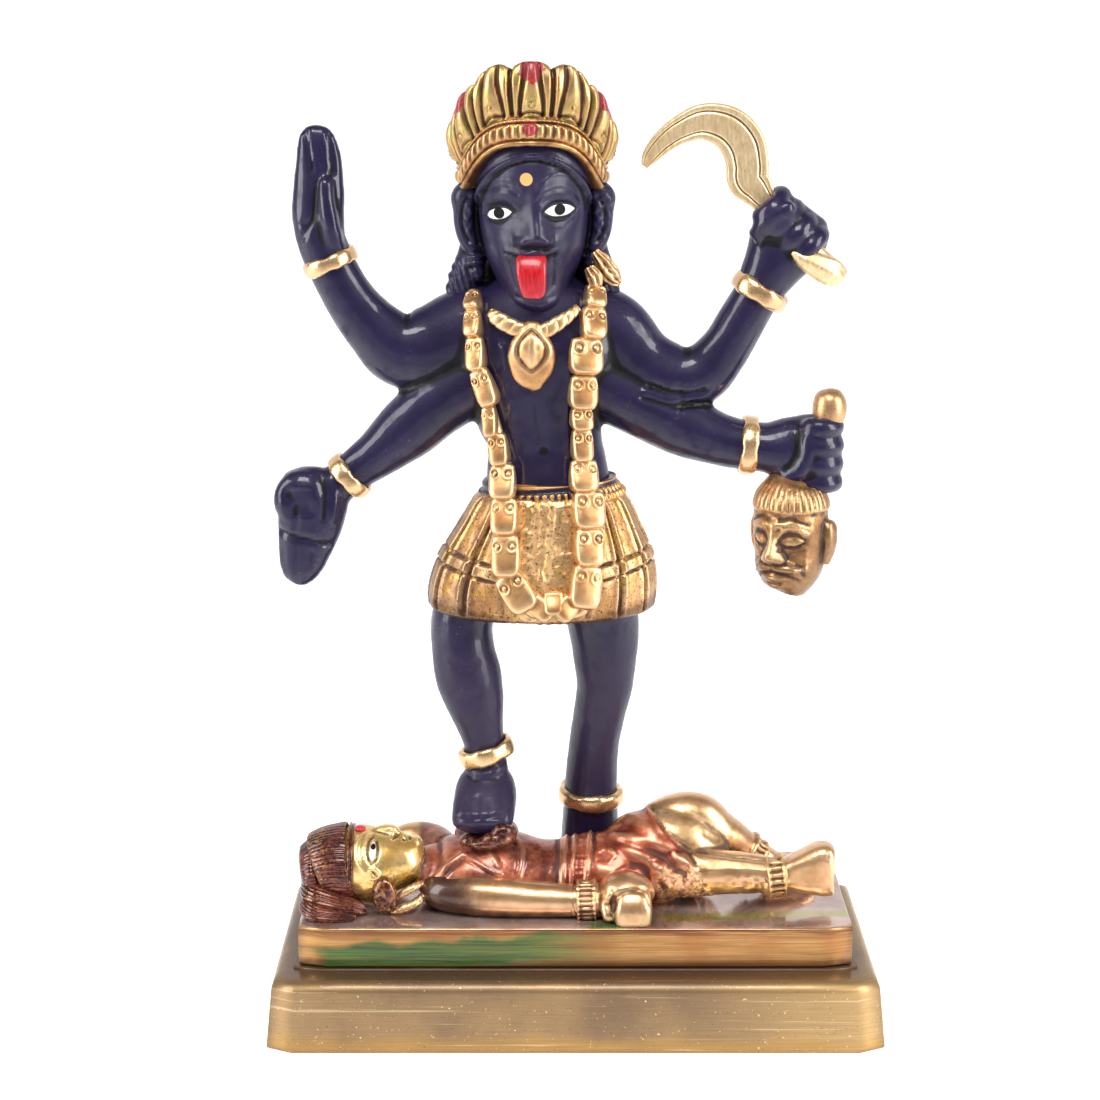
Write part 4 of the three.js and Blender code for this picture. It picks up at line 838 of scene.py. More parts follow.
def head():
    """Face, ears, neck and the hair round them. The face is pushed out of an egg and then carved."""
    egg = limb([(-7.7, -5.6, 124.4, 1.8, 1.6), (-7.8, -4.4, 126.6, 5.2, 5.6), (-8.2, -2.4, 131, 7.2, 8.9),
                (-8.4, -1, 135.6, 9.4, 10.7), (-8.5, -0.5, 140.2, 10.5, 11.4), (-8.6, -0.2, 145, 11.1, 11.8),
                (-8.7, 0, 150, 11.3, 12), (-8.7, 0.2, 155, 11.2, 12), (-8.7, 0.4, 158.4, 10.4, 11.3),
                (-8.7, 0.6, 161, 8.4, 9.4), (-8.7, 0.8, 162.5, 5.4, 6.2), (-8.7, 0.8, 163.1, 2, 2.4)], 72, 100)
    neck = limb([(-8.4, 1.4, 124, 8.4, 6.6), (-8.4, 1.2, 131, 7.4, 6.4), (-8.4, 1, 140, 8, 7)], 40, 30)
    # one side, outwards from the ear's middle and from the head's: the ear, its rings and bead, and the hair
    ear = [(0, -0.6, 150, 1, 1.4), (1.6, 0, 148.8, 2.1, 2.3), (2, 0.4, 145.6, 2.3, 2.4), (1.8, 0.5, 141.8, 2.1, 2.2),
           (0.8, 0.2, 138.8, 1.9, 2), (0, -0.2, 137.4, 1.4, 1.6)]
    rings = [(0.2, -0.4, 136.4, 2, 1.9, 0.7), (0.2, -0.4, 135.1, 2.1, 2, 0.75), (-0.3, -0.4, 133, 1.6, 1.7, 1.8)]
    lock = [(11.4, 2.4, 151, 2, 3), (11.8, 3.2, 144, 2.2, 3.4), (12.4, 2.4, 137, 3, 3.4), (14, 2, 131, 3.6, 3.2),
            (15.6, 2.4, 126, 2.8, 2.6)]
    ears, hair = [], []
    for side in (-1, 1):
        middle = HEAD_MIDDLE + side * 12
        ears.append(limb(beside(middle, side, ear), 24, 40))
        ears += [ball(*ring) for ring in beside(middle, side, rings)]
        hair.append(limb(beside(HEAD_MIDDLE, side, lock), 24, 40))
    skull = fuse([egg, neck, *ears, *hair], 0.36, 2)
    mould(skull, [
        (-8.4, 152.5, 7.5, 4.5, 0.5),
        (-7.8, 149.8, 2, 2.6, 0.75), (-7.7, 145.8, 2.3, 3.2, 1.35), (-7.7, 142.4, 2.7, 2.2, 1.7),
        (-7.8, 140.9, 3.1, 1.4, 1.5), (-10.9, 140.4, 1.1, 1, 1), (-5.6, 140.5, 1.1, 1, 1.1),
        (-15.2, 146.2, 3.6, 2.4, -1.7), (-3.4, 146.8, 3.6, 2.4, -1.7),
        (-15.5, 145.9, 2.3, 1.25, 1.25), (-3.4, 146.6, 2.4, 1.3, 1.25),
        (-15, 149.8, 4, 1.5, 0.45), (-2.8, 150.4, 4, 1.5, 0.45),
        (-15.2, 140, 3.2, 3, 0.6), (-2.2, 140.2, 3.2, 3, 0.6),
        (-9.4, 138, 4.2, 1.1, 1.3), (-8.4, 135.2, 4, 1.2, 0.6), (-7.5, 127.2, 4, 2.2, 1.3),
    ])
    # the hair stands out over an arch above the brow, with a roll along it between two grooves
    x, y, z = skull.points.T
    arch = np.hypot((x - HEAD_MIDDLE) / 11.1, (z - 145.7) / 11.2)
    above = step(z, 145, 149) * step(-y, -6, 0)
    skull.press(above * (0.75 * step(arch, 0.965, 1.0) + 0.3 * hill(arch - 1.02, 0.025)
                         - 0.35 * hill(arch - 0.965, 0.02) - 0.3 * hill(arch - 1.07, 0.02)))
    engrave(skull, [
        # brows, the crease over each eye, lids and the line under each eye
        ([(-19.2, 150.6), (-17.3, 152.2), (-14.3, 152.8), (-11.8, 152), (-10.6, 150.9)], 0.34, -0.22),
        ([(-6.6, 152.2), (-5.6, 153.2), (-3.6, 153.9), (-1, 153.2), (0.6, 151.5)], 0.34, -0.2),
        ([(-6.4, 153.2), (-5.2, 154.1), (-3.4, 154.6), (-1, 154), (0.8, 152.3)], 0.24, 0.14),
        ([(-19, 149.3), (-17.1, 150.6), (-14.2, 151.2), (-11.8, 149.9)], 0.34, 0.26),
        ([(-7.6, 148.9), (-6.3, 150.1), (-3.6, 150.9), (-1, 150.2), (0.4, 148.4)], 0.34, 0.26),
        ([(-18.8, 147.7), (-16.4, 148.7), (-13.7, 148.7), (-11.4, 147.3)], 0.3, -0.26),
        ([(-7.1, 147.2), (-5.2, 148.6), (-3.3, 149), (-0.9, 148.5), (0.5, 147.3)], 0.3, -0.26),
        ([(-18.5, 145.3), (-17, 146.8), (-15.4, 147.4), (-13.8, 147.3), (-12.6, 146.3)], 0.24, 0.3),
        ([(-6.7, 146.6), (-5.2, 147.9), (-3.5, 148.3), (-1.7, 148), (-0.1, 146.9)], 0.24, 0.3),
        ([(-18.2, 144.8), (-16.6, 144.1), (-15, 144.3), (-13, 145.5)], 0.24, 0.28),
        ([(-6.7, 146.1), (-5, 145), (-3.5, 144.8), (-1.8, 145.1), (-0.1, 146.3)], 0.24, 0.28),
        ([(-6.6, 144.6), (-4.6, 143.6), (-2.2, 143.7), (-0.2, 145)], 0.3, 0.16),
        # nose wings, nostrils, upper lip, the lines beside the tongue, and the chin
        ([(-12.2, 141.4), (-12, 140), (-10.4, 139.2)], 0.3, 0.26),
        ([(-4.3, 141.5), (-4.4, 140.1), (-5.9, 139.3)], 0.3, 0.26),
        ([(-9.6, 139.1)], 0.4, 0.3), ([(-6.6, 139.2)], 0.4, 0.3),
        ([(-14.3, 138.7), (-11.9, 138.7), (-10.2, 138.2), (-8.2, 138.5), (-6.4, 138.3), (-3.8, 139)], 0.3, -0.22),
        ([(-14.5, 138), (-11.9, 137.4), (-9.5, 136.9), (-7.1, 137), (-3.9, 137.9)], 0.32, 0.5),
        ([(-4.6, 137.4), (-4.2, 134.5), (-4.6, 131.5)], 0.35, 0.22),
        ([(-13.8, 137.2), (-13.2, 134), (-12.2, 131)], 0.35, 0.14),
        ([(-12, 129.2), (-8.2, 128), (-4.6, 129.2)], 0.45, 0.2),
    ])
    carve_ears(skull)
    x, _, z = skull.points.T
    locks = step(np.abs(x - HEAD_MIDDLE), 10.5, 12) * step(-z, -137, -133)
    skull.press(0.2 * locks * np.cos(x * 5.2 + z * 1.4))
    return roughen(skull, (0.03, 1.6, 5))


def carve_ears(skull):
    """Folds of the ears: a long dip within the rim, a hollow along the inner side, and small curls. The ear on
    the viewer's right is rough."""
    folds = [([(-0.5, 148.4), (0.8, 146), (0.7, 142.4), (-0.7, 139.6)], 0.42, 0.6),
             ([(-2.2, 148.6), (-2, 143), (-2.6, 139)], 0.4, 0.6),
             ([(-0.6, 146.6), (-0.9, 145.2), (-0.3, 144.2)], 0.35, -0.45),
             ([(-0.9, 142.8), (-0.4, 141.4)], 0.4, -0.4)]
    for side in (-1, 1):
        middle = HEAD_MIDDLE + side * 13.6
        engrave(skull, [(beside(middle, side, spots), width, depth) for spots, width, depth in folds])
    x, y, z = skull.points.T
    right_ear = step(x, 3.0, 3.8) * step(z, 138, 140)
    skull.press(0.22 * grain(skull.points, 0.9, 31) * right_ear * step(-y, 0.2, 1.2))


def tongue():
    """The tongue, a flat tapering strip that hangs over the chin, with a faint middle groove."""
    shape = limb([(-9, -10.4, 137.2, 2.8, 1.2), (-9, -12.2, 136.8, 3, 1.2), (-9, -13.2, 135, 3, 1.15),
                  (-8.8, -13.2, 132.6, 2.75, 1.1), (-8.6, -12.9, 130.8, 2.45, 1.05),
                  (-8.5, -12.7, 129.8, 1.9, 0.9), (-8.5, -12.6, 129.5, 0.6, 0.4)], 48, 70, square=3.4)
    engrave(shape, [([(-9, 136.4), (-8.8, 131)], 0.5, 0.12)])
    return shape


# Crown: how many leaves, its axis, the height of its rim at the back, and how far the front arches over that
CROWN_LEAVES = 12
CROWN_CENTRE = (-8.9, 1.0, 0.0)
CROWN_RIM, CROWN_ARCH = 150.0, 9.6


def crown():
    """Crown: a profile carried round, radius and height, whose front arches over the brow. A thin rim, a ribbed
    band and a cord carry twelve leaves that flare out. Each leaf is a tapering panel between two grooves with a
    narrow panel at each side, a ring stud at its foot and a round top; a deeper groove parts it from the next.
    Turn runs round it from the back, and level is the height above the rim."""
    around, along = 400, 124
    stops = np.array([(12.8, 0.1), (14, -0.1), (14.7, 0.1), (14.95, 0.7), (14.6, 1.2), (15.15, 1.6), (15.45, 2.9),
                      (15.3, 4.2), (14.85, 4.5), (15.4, 5), (15, 5.6), (15.5, 6.6), (16.3, 8.6), (17, 11.2),
                      (17.05, 13.4), (16.5, 15.2), (15.8, 15.9), (14.9, 15.7), (14.2, 14.6), (12.8, 13), (11, 12),
                      (7, 11.6), (3, 11.5)])
    share = np.linspace(0, 1, along + 1)
    profile, _ = along_curve(stops, share)
    radius, height = profile[:, :1], profile[:, 1:]
    turn = 2 * np.pi * np.arange(around)[None] / around
    outside = step(share[:, None], 0.02, 0.05) * (1 - step(share[:, None], 0.76, 0.80))
    # leaves: side is 0 in the middle of a leaf and 1 between two
    phase = (turn * CROWN_LEAVES / (2 * np.pi) + 0.5) % 1 - 0.5
    side = np.abs(phase) * 2
    up = step(height, 5.4, 15.5)
    leafy = step(height, 5.5, 6.3) * outside
    inner = 0.60 - 0.26 * up
    relief = leafy * (-0.95 * hill(side - inner, 0.085 + 0.03 * up) - 1.25 * hill(side - 1.0, 0.10)
                      + 0.35 * hill(side, 0.28) + 0.15 * hill(side - 0.8, 0.1))
    relief -= 0.55 * hill(height - (6.1 + 0.5 * np.cos(np.pi * phase * 2)), 0.28) * outside * (side < 0.6)
    stud = np.hypot(phase * 2 * np.pi / CROWN_LEAVES * 16.3, height - 8.2)
    relief += outside * (0.42 * hill(stud, 0.36) - 0.32 * hill(stud - 0.55, 0.16) + 0.3 * hill(stud - 0.9, 0.16))
    # the ribbed band and the cord over it
    ribs = np.abs(np.cos(turn * 29 + 0.3 * np.sin(3 * turn))) ** 0.7
    in_band = step(height, 1.5, 2.0) * (1 - step(height, 3.9, 4.3)) * outside
    relief += in_band * (0.5 * ribs - 0.25)
    relief += 0.06 * outside * hill(height - 5.0, 0.4) * np.cos(turn * 110)
    # heights: the rim arches at the front, the sides and back are lower, and each leaf has a round top
    forward = np.clip(-np.cos(turn), -1, 1)
    lean = np.minimum(1, radius / 12)
    lobe = 0.5 - 1.5 * side ** 3
    tall = step(height, 12, 15.6) * step(radius, 12.6, 13.4)
    z = CROWN_RIM + CROWN_ARCH * step(forward, 0.2, 1.05) * lean
    z = z + height * (0.76 + 0.24 * step(forward, -0.2, 0.45)) + lobe * tall
    r = radius + relief
    shape = tube(np.stack([-r * np.sin(turn), r * np.cos(turn), z], -1))
    shape.values["turn"] = np.concatenate([(turn + 0 * height).ravel(), [0, 0]])
    shape.values["level"] = np.concatenate([(height + 0 * turn).ravel(), [-4, 12]])
    roughen(shape, (0.05, 1.4, 6), (0.03, 0.7, 61))
    return shape.moved(CROWN_CENTRE)


SKIRT_PANELS = 16


def skirt():
    """Skirt of flat panels that fan out from the belt: rings of half width, half depth and height carried up it,
    with a narrow groove between each two panels, a raised band between two lines that rise towards the sides,
    and a short flounce. Its front is rough."""
    rings = np.array([(15, 9, 62), (20.4, 12.4, 62.2), (22.6, 13.7, 62.9), (23.5, 14.1, 64.4), (23.7, 14.2, 67.2),
                      (23.4, 14.15, 70), (22.7, 13.9, 72.8), (21.7, 13.4, 75.4), (20.2, 12.8, 78.4),
                      (18.5, 12.2, 81.5), (16.9, 11.8, 84.6), (15.4, 11.3, 87), (14.2, 10.2, 88), (11, 8, 88.2)])
    rows, around = 112, 420
    profile, _ = along_curve(rings, np.linspace(0, 1, rows))
    wide, deep, z = [profile[:, k:k + 1] for k in range(3)]
    turn = np.arange(around)[None] / around
    s, c = np.sin(2 * np.pi * turn), np.cos(2 * np.pi * turn)
    x = wide * s
    across = np.abs((turn * SKIRT_PANELS + 0.5 + 0.13 * np.sin(4 * np.pi * turn + 1)) % 1 - 0.5) / SKIRT_PANELS * 118
    fades = step(z, 62.6, 64.2) * (1 - step(z, 86, 87.4))
    top_line = z - (73.4 + 0.0066 * x ** 2)
    low_line = z - (70.3 + 0.0066 * x ** 2)
    relief = fades * (-1.15 * hill(across, 0.42) + 0.3 * hill(across - 1.1, 0.45))
    relief += 0.28 * step(low_line, 0, 0.5) * (1 - step(top_line, -0.5, 0)) * step(across, 0.3, 0.8)
    relief -= (0.6 * hill(top_line, 0.3) + 0.65 * hill(low_line, 0.3)) * step(z, 64, 66)
    relief += 0.25 * hill(z - 63.4, 0.7)
    front = step(-c, 0.84, 0.93)
    folds = (-0.22 * (hill(x + 3.2 + 0.09 * (z - 85), 0.8) + hill(x - 0.2, 0.7)) * step(z, 67, 71)
             + 0.2 * hill(x + 1.4 + 0.05 * (z - 85), 1.0))
    relief = relief * (1 - 0.9 * front) + folds * front
    up = step(z, 62, 88)
    shape = tube(np.stack([-7.1 + 2.0 * up + (wide + relief) * s, -0.4 + 0.6 * up + (deep + relief) * c,
                           z + 0 * turn], -1))
    middle = 1 - step(np.abs(shape.points[:, 0] + 6), 6, 9)
    ahead = step(-shape.points[:, 1], 4, 8)
    rough = grain(shape.points, 0.8, 7) + 0.8 * grain(shape.points, 0.45, 8)
    return shape.press(0.085 * rough * (0.4 + 1.3 * middle * ahead) + 0.09 * grain(shape.points, 2.6, 9))


def belt():
    """Belt: a band with a row of upright teeth, and a thin cord above it."""
    def teeth(turn, share):
        tooth = np.abs(np.cos(np.pi * 60 * turn + np.sin(22 * turn))) ** 0.6
        return (0.55 * tooth * step(share, 0.2, 0.24) * (1 - step(share, 0.56, 0.6))
                + 0.3 * hill(share - 0.12, 0.05) + 0.35 * hill(share - 0.80, 0.04))
    return limb([(-5.1, 0.2, 85, 13, 9.6), (-5.1, 0.2, 85.6, 15.3, 10.8), (-5.3, 0.2, 87.3, 14.7, 10.4),
                 (-5.4, 0.2, 89, 14.1, 9.9), (-5.5, 0.2, 90.2, 13.6, 9.6), (-5.5, 0.2, 91.4, 11, 8)],
                360, 44, BACK, teeth)


BEAD_THICK = 2.4


def bead(top, bottom, width, marked):
    """A skull bead between two points: a flat plate with round lower corners, thin at its tucked-in top and
    thickest near its lower edge, which overhangs the next bead. Its section is a flattened loop,
    (1 - |u| to the power 4) to the power 1/4 deep at the share u of its half width. Its outer side has two ring
    eyes near the top corners."""
    top, bottom = np.asarray(top, float), np.asarray(bottom, float)
    down = bottom - top
    length = np.linalg.norm(down)
    down /= length
    # outwards is forward, turned a little with the chest, and square to the bead
    out = np.array([0.03 * (top[0] + 8), -1, 0.1])
    out = out - down * (out @ down)
    out /= np.linalg.norm(out)
    over = np.cross(out, down)
    # v runs down it: its half width, then its depth
    v = np.linspace(0, 1, 32)[:, None]
    lower = (1 - np.clip((v - 0.66) / 0.34, 0, 1) ** 2.2) ** 0.5
    upper = (1 - np.clip((0.1 - v) / 0.1, 0, 1) ** 2) ** 0.5
    half = width / 2 * (0.88 + 0.12 * step(v, 0, 0.4)) * (0.3 + 0.7 * lower) * (0.5 + 0.5 * upper)
    end = (1 - np.clip((v - 0.86) / 0.14, 0, 1) ** 2) ** 0.5
    deep = BEAD_THICK * (0.5 + 0.5 * step(v, 0.0, 0.8)) * (0.1 + 0.9 * end) * (0.4 + 0.6 * upper)
    columns, spread = 37, 1.25
    front = np.sin(np.linspace(-spread, spread, columns)) / np.sin(spread)
    u = np.concatenate([front, front[::-3][1:-1]])[None]
    face = np.concatenate([np.ones(columns), -np.ones(u.shape[1] - columns)])[None]
    bulge = np.maximum(0, 1 - u ** 4) ** 0.25
    across = half * u
    eye = np.hypot(np.abs(across) - 0.26 * width, (v - 0.27) * length)
    size = 0.11 * width
    mark = 0.16 * hill(eye, 0.6 * size) - 0.26 * hill(eye - size, 0.17) + 0.12 * hill(eye - 1.7 * size, 0.2)
    mark = marked * mark + 0.08 * hill(across / half, 0.6)
    lift = face * deep * bulge + mark * (face > 0) * step(bulge, 0.5, 0.8)
    places = top + down * (v * length)[..., None] + over * across[..., None] + out * lift[..., None]
    return tube(places)


# Each bead: the middle of its top and of its bottom, and its width. There are STRAND of them on each side.
BEADS = [
    # left strand, from the shoulder down
    ((-20.6, -5, 129.6), (-21, -7.6, 125.8), 3.2), ((-20.9, -7.4, 126.4), (-20.7, -9.4, 120.8), 3.4),
    ((-20.5, -9.2, 121.2), (-20, -10.2, 114.2), 3.8), ((-19.9, -10, 114.8), (-17, -10.6, 107.2), 4.2),
    ((-17.8, -10, 107.2), (-17, -9.9, 100.8), 3), ((-16.2, -9.7, 101.6), (-15.2, -10.2, 94.8), 4),
    ((-14.9, -10.4, 95.4), (-14.9, -11.8, 88), 5.3), ((-14.6, -11.6, 88.6), (-14.5, -13, 80.8), 5.5),
    ((-14.4, -12.9, 81.2), (-14, -14.1, 72.2), 5.8), ((-14.4, -13.9, 73.2), (-9.4, -15, 65.6), 6.2),
    # right strand, from the shoulder down
    ((3.8, -4.6, 131), (3.6, -6.8, 126.2), 4.4), ((3.5, -6.6, 126.9), (3.3, -9.2, 120.2), 5.2),
    ((2, -9, 121), (1.8, -10.6, 113.4), 6.9), ((1.5, -10.3, 113.6), (1.2, -10.6, 106.4), 5.8),
    ((1, -10.2, 107), (1.1, -10, 102.2), 4.5), ((1.1, -9.9, 102.6), (1.2, -10.1, 95.6), 4.3),
    ((1.4, -10, 96.2), (1.6, -11.4, 89.4), 5.8), ((2.5, -11.2, 90), (2.6, -12.6, 82), 6.6),
    ((2.7, -12.4, 82.5), (2.6, -13.8, 74.4), 6), ((2.6, -13.7, 75), (1.2, -15, 65.8), 6.3),
    # the middle of the hem
    ((-9.2, -14.9, 67.8), (-4.6, -15.3, 64.6), 4.4), ((-0.4, -14.9, 68), (-4, -15.4, 64.4), 4.6),
    ((-4.6, -15, 69.8), (-4.6, -15.6, 64.8), 4.2),
]
STRAND = 10


def garland():
    """Two strands of skull beads, one below another, that meet across the hem, on a thin cord. The eyes of the
    beads are of three depths in turn, and those on the hem have none."""
    left, right = BEADS[:STRAND], BEADS[STRAND:2 * STRAND]
    beads = [bead(top, bottom, 1.04 * width, 0 if n >= 2 * STRAND else (1, 0.55, 0.8)[n % 3])
             for n, (top, bottom, width) in enumerate(BEADS)]
    cords = []
    for side in (left, right):
        spots = [top for top, _, _ in side] + [side[-1][1], (-4.3, -14.6, 65.2)]
        cords.append(limb([(x, y + 0.7, z, 1.35) for x, y, z in spots], 12, 90))
    return joined(beads + cords)


def necklace():
    """Flat twisted collar that hangs in a V, with a leaf-shaped pendant whose middle is a raised almond with a
    soft ridge."""
    def twist(turn, share):
        return 0.16 * np.abs(np.sin(np.pi * (2 * turn + 11 * share))) ** 0.7 - 0.06
    rope = limb([(-17.2, -7.8, 125.9, 0.9, 0.8), (-16, -9, 124.9, 1.5, 1), (-13.4, -10.1, 123.5, 1.6, 1),
                 (-10.6, -10.8, 122.6, 1.5, 1), (-8.4, -11, 122.4, 1.5, 1), (-6, -10.8, 122.8, 1.5, 1),
                 (-3.4, -10.1, 124.2, 1.4, 0.9), (-1.2, -9, 125.6, 1.1, 0.8), (0.2, -7.6, 126.8, 0.8, 0.7)],
                36, 190, relief=twist, square=2.6)
    leaf = limb([(-8.6, -10.2, 110.4, 0.3, 0.3), (-8.6, -10.4, 111.2, 1.8, 0.9), (-8.9, -10.6, 113.4, 3.8, 1.6),
                 (-9, -10.8, 117, 4.8, 2), (-9, -10.9, 119.8, 4.3, 2), (-8.9, -10.9, 122.2, 3, 1.8),
                 (-8.7, -10.8, 123.8, 2, 1.4), (-8.6, -10.6, 124.4, 0.6, 0.5)], 96, 84, square=2.3)
    u, v = (leaf.points[:, 0] + 9.0) / 2.5, (leaf.points[:, 2] - 118.8) / 3.9
    inside = 1 - np.abs(u) - v ** 2
    facing = step(leaf.normals() @ FRONT, 0.1, 0.5)
    ridge = hill(u - 0.12, 0.2) * step(inside, 0.1, 0.35)
    leaf.press(facing * (0.7 * np.clip(inside, 0, 1) ** 0.8 - 0.16 * hill(inside + 0.1, 0.13)
                         + 0.1 * hill(inside + 0.5, 0.22) + 0.12 * ridge))
    roughen(leaf, (0.06, 1.1, 41))
    return joined([rope, leaf])


def bangle(centre, axis, radius, wire, tall):
    """A bangle: a band with a rounded section carried round its axis, a little uneven from its casting."""
    axis = np.asarray(axis, float) / np.linalg.norm(axis)
    one = np.cross(axis, BACK)
    one /= np.linalg.norm(one)
    two = np.cross(axis, one)
    t = np.linspace(0, 2 * np.pi, 96, endpoint=False)[:, None]
    a = 2 * np.pi * np.arange(20)[None] / 20
    bulge, lift = signed_power(np.cos(a), 0.8), signed_power(np.sin(a), 0.8)
    wave = 1 + 0.06 * np.sin(2 * t + centre[0]) + 0.09 * np.sin(5 * t + centre[2]) + 0.04 * np.sin(11 * t)
    r = radius + 0.55 * wire * bulge * wave
    h = wire * tall * lift * wave
    places = (np.asarray(centre) + (r * np.cos(t))[..., None] * one + (r * np.sin(t))[..., None] * two
              + h[..., None] * axis)
    rows, columns = places.shape[:2]
    i, j = np.meshgrid(np.arange(rows), np.arange(columns), indexing="ij")
    n, k = (i + 1) % rows, (j + 1) % columns
    return outward(Shape(places, np.stack([i * columns + j, i * columns + k, n * columns + k, n * columns + j], -1)))


def bangles():
    """Bangles on the four wrists and both ankles."""
    return joined([
        bangle((-50, -1.4, 135.4), (-0.38, 0, 0.93), 5.0, 1.35, 1.15),
        bangle((-46.9, -1.6, 91), (-0.75, 0, -0.66), 4.6, 1.45, 1.15),
        bangle((37.4, -1.2, 129.3), (0.52, 0, 0.86), 5.3, 1.6, 1.15),
        bangle((35.7, -1.4, 97.4), (1, 0, -0.1), 5.5, 1.45, 1.15),
        bangle((-18.8, -2, LEFT_SOLE + 15.4), (-0.31, 0, 0.95), 5.2, 1.5, 1.2),
        bangle((3.6, 9.7, 18.2), (0.05, -0.1, 1), 6.1, 1.9, 0.95),
    ])


def hair_lock():
    """The lock of hair on the shoulder that is left in brass, and its rings."""
    relief = strands(7, 0.2, 3)
    lock = limb([(3.8, -2, 137.6, 0.7, 1), (5, -2.2, 136, 1.4, 1.6), (6.2, -2.4, 134, 1.9, 1.8),
                 (7.6, -2.2, 132.2, 1.6, 1.5), (8.8, -2, 131, 0.6, 0.6)], 72, 70, relief=relief)
    side = limb([(2.6, -4.8, 134.6, 0.9, 0.9), (3.6, -5.6, 132.8, 1.5, 1.3), (3.9, -6, 131, 1.2, 1)], 48, 40,
                relief=relief)
    roughen(lock, (0.12, 0.8, 43))
    return joined([lock, side])


HELD_MIDDLE = 45


def severed_head():
    """The severed head, turned to the viewer's left: cap of cut hair, heavy lids, big nose and moustache. It is
    modelled facing the viewer and then turned."""
    egg = limb([(45, -5, 67.8, 2.8, 2.6), (45.1, -5, 68.5, 5, 4.8), (45.1, -4.8, 71.8, 6.9, 6.7),
                (45, -4.4, 76, 7.3, 7.4), (44.9, -4.2, 80.5, 7.7, 7.8), (44.9, -4, 85, 7.5, 7.6),
                (45.1, -4, 88.6, 6.3, 6.4), (45.6, -4, 91, 3.4, 3.4)], 60, 70)
    cap = limb([(44.9, -4, 84.6, 7.2, 7.2), (44.9, -4, 85.2, 8, 8.1), (45, -4, 87.6, 7.4, 7.5),
                (45.2, -4, 90.2, 5.4, 5.4), (45.6, -4, 91.6, 2.6, 2.6)], 72, 40)
    ear = [(7.6, -3, 82.4, 0.9, 1.2), (8.3, -2.8, 80.8, 1.3, 2), (8.3, -2.8, 77, 1.2, 1.9),
           (7.4, -3, 73.4, 0.9, 1.2)]
    ears = [limb(beside(HELD_MIDDLE, side, ear), 20, 30) for side in (-1, 1)]
    head = fuse([egg, cap, *ears], 0.31, 2)
    mould(head, [
        (45, 80.8, 1, 1.4, 0.7), (45, 78.6, 1.4, 1.7, 1.8), (45, 76.3, 2.3, 1.6, 3), (45, 75, 3.1, 1, 1.4),
        (41.5, 78.8, 2.1, 1.6, -1.4), (48.5, 78.8, 2.1, 1.6, -1.4),
        (41.4, 78.8, 1.7, 1.15, 1.5), (48.6, 78.8, 1.7, 1.15, 1.5),
        (45, 82.4, 5.2, 0.9, 0.7), (45, 73.4, 4, 0.8, 0.9), (45, 71.2, 2.6, 0.9, 1.1), (45, 69.2, 3, 1.2, 1),
        (41, 73.4, 2, 1.8, 0.5), (49, 73.4, 2, 1.8, 0.5),
    ])
    lines = []
    for side in (-1, 1):
        # round each eye, both in the same direction: the fold over it, its brow, the slit and the line under it
        lines += [(beside(HELD_MIDDLE + side * 3.5, 1, spots), width, depth) for spots, width, depth in (
            ([(-2.3, 79.2), (-1, 80.4), (0.6, 80.5), (2.4, 79.2)], 0.26, 0.3),
            ([(-2.3, 80.6), (-1, 81.8), (0.8, 81.8), (2.6, 80.4)], 0.3, -0.35),
            ([(-2.2, 78.6), (-0.8, 77.8), (0.8, 77.7), (2.2, 78.5)], 0.26, 0.6),
            ([(-1.9, 77.4), (0, 76.6), (1.9, 77.3)], 0.26, 0.18))]
        # beside the nose, along the moustache with its right end up, and on the brow and the cheek
        lines += [(beside(HELD_MIDDLE, side, spots), width, depth) for spots, width, depth in (
            ([(1.8, 77.6), (3.1, 75.8), (2.8, 74.4)], 0.28, 0.45),
            ([(0.9, 74), (3, 74.1), (5.4, 73 + side * 0.6)], 0.28, 0.4),
            ([(0.7, 73.3), (3, 72.9), (5.8, 72.3 + side * 0.8)], 0.42, -0.4),
            ([(0.6, 72.5), (2.6, 71.9), (4.6, 70.6)], 0.26, 0.35),
            ([(1.2, 83.4), (3.6, 83.7), (6.2, 82.4)], 0.3, 0.45),
            ([(3, 76), (5, 74), (5.6, 71.4)], 0.5, 0.3))]
    lines += [([(43.4, 71.4), (45, 71.3), (46.6, 71.4)], 0.24, 0.45),
              ([(43.6, 69.7), (45, 69.5), (46.4, 69.7)], 0.3, 0.35)]
    engrave(head, lines)
    # locks of the cap, parted every 1.5 mm round a circle of 8 mm
    x, y, z = head.points.T
    turn = np.arctan2(x - HELD_MIDDLE, -(y + 4))
    cut = step(z, 85.0, 85.6) * (1 - step(z, 89.4, 90.4))
    head.press(-0.3 * cut * hill((turn * 8.0 / 1.5 + 0.5) % 1 - 0.5, 0.14))
    head.turned(-32, 2, (HELD_MIDDLE, -4, 0)).moved((-0.3, 0, 0.3))
    roughen(head, (0.06, 1.0, 45))
    knot = limb([(48.6, -3.6, 88, 2.6), (50.2, -3.4, 96, 2.4), (51.6, -3.1, 101.6, 2.9), (52.1, -3, 105, 3.5),
                 (52.2, -3, 107.6, 3.2), (52.3, -3, 109, 2.2), (52.3, -3, 109.6, 0.7)], 48, 70)
    return joined([head, knot])


# Sickle

SICKLE_STOPS = [(46.5, 139.3, 1.5), (41.5, 144.3, 2), (38.2, 147.8, 2.7), (36.2, 150.2, 3.6), (34.6, 152.2, 4.2),
                (34.4, 155.3, 4.3), (33.3, 159.3, 4.5), (30.2, 162.5, 4.3), (25.4, 163.6, 3.6),
                (20.65, 161.9, 2.8), (17.3, 159.5, 2.3), (14.9, 156.8, 1.7), (13.7, 154.8, 0.7)]
SICKLE_THICK = 2.2


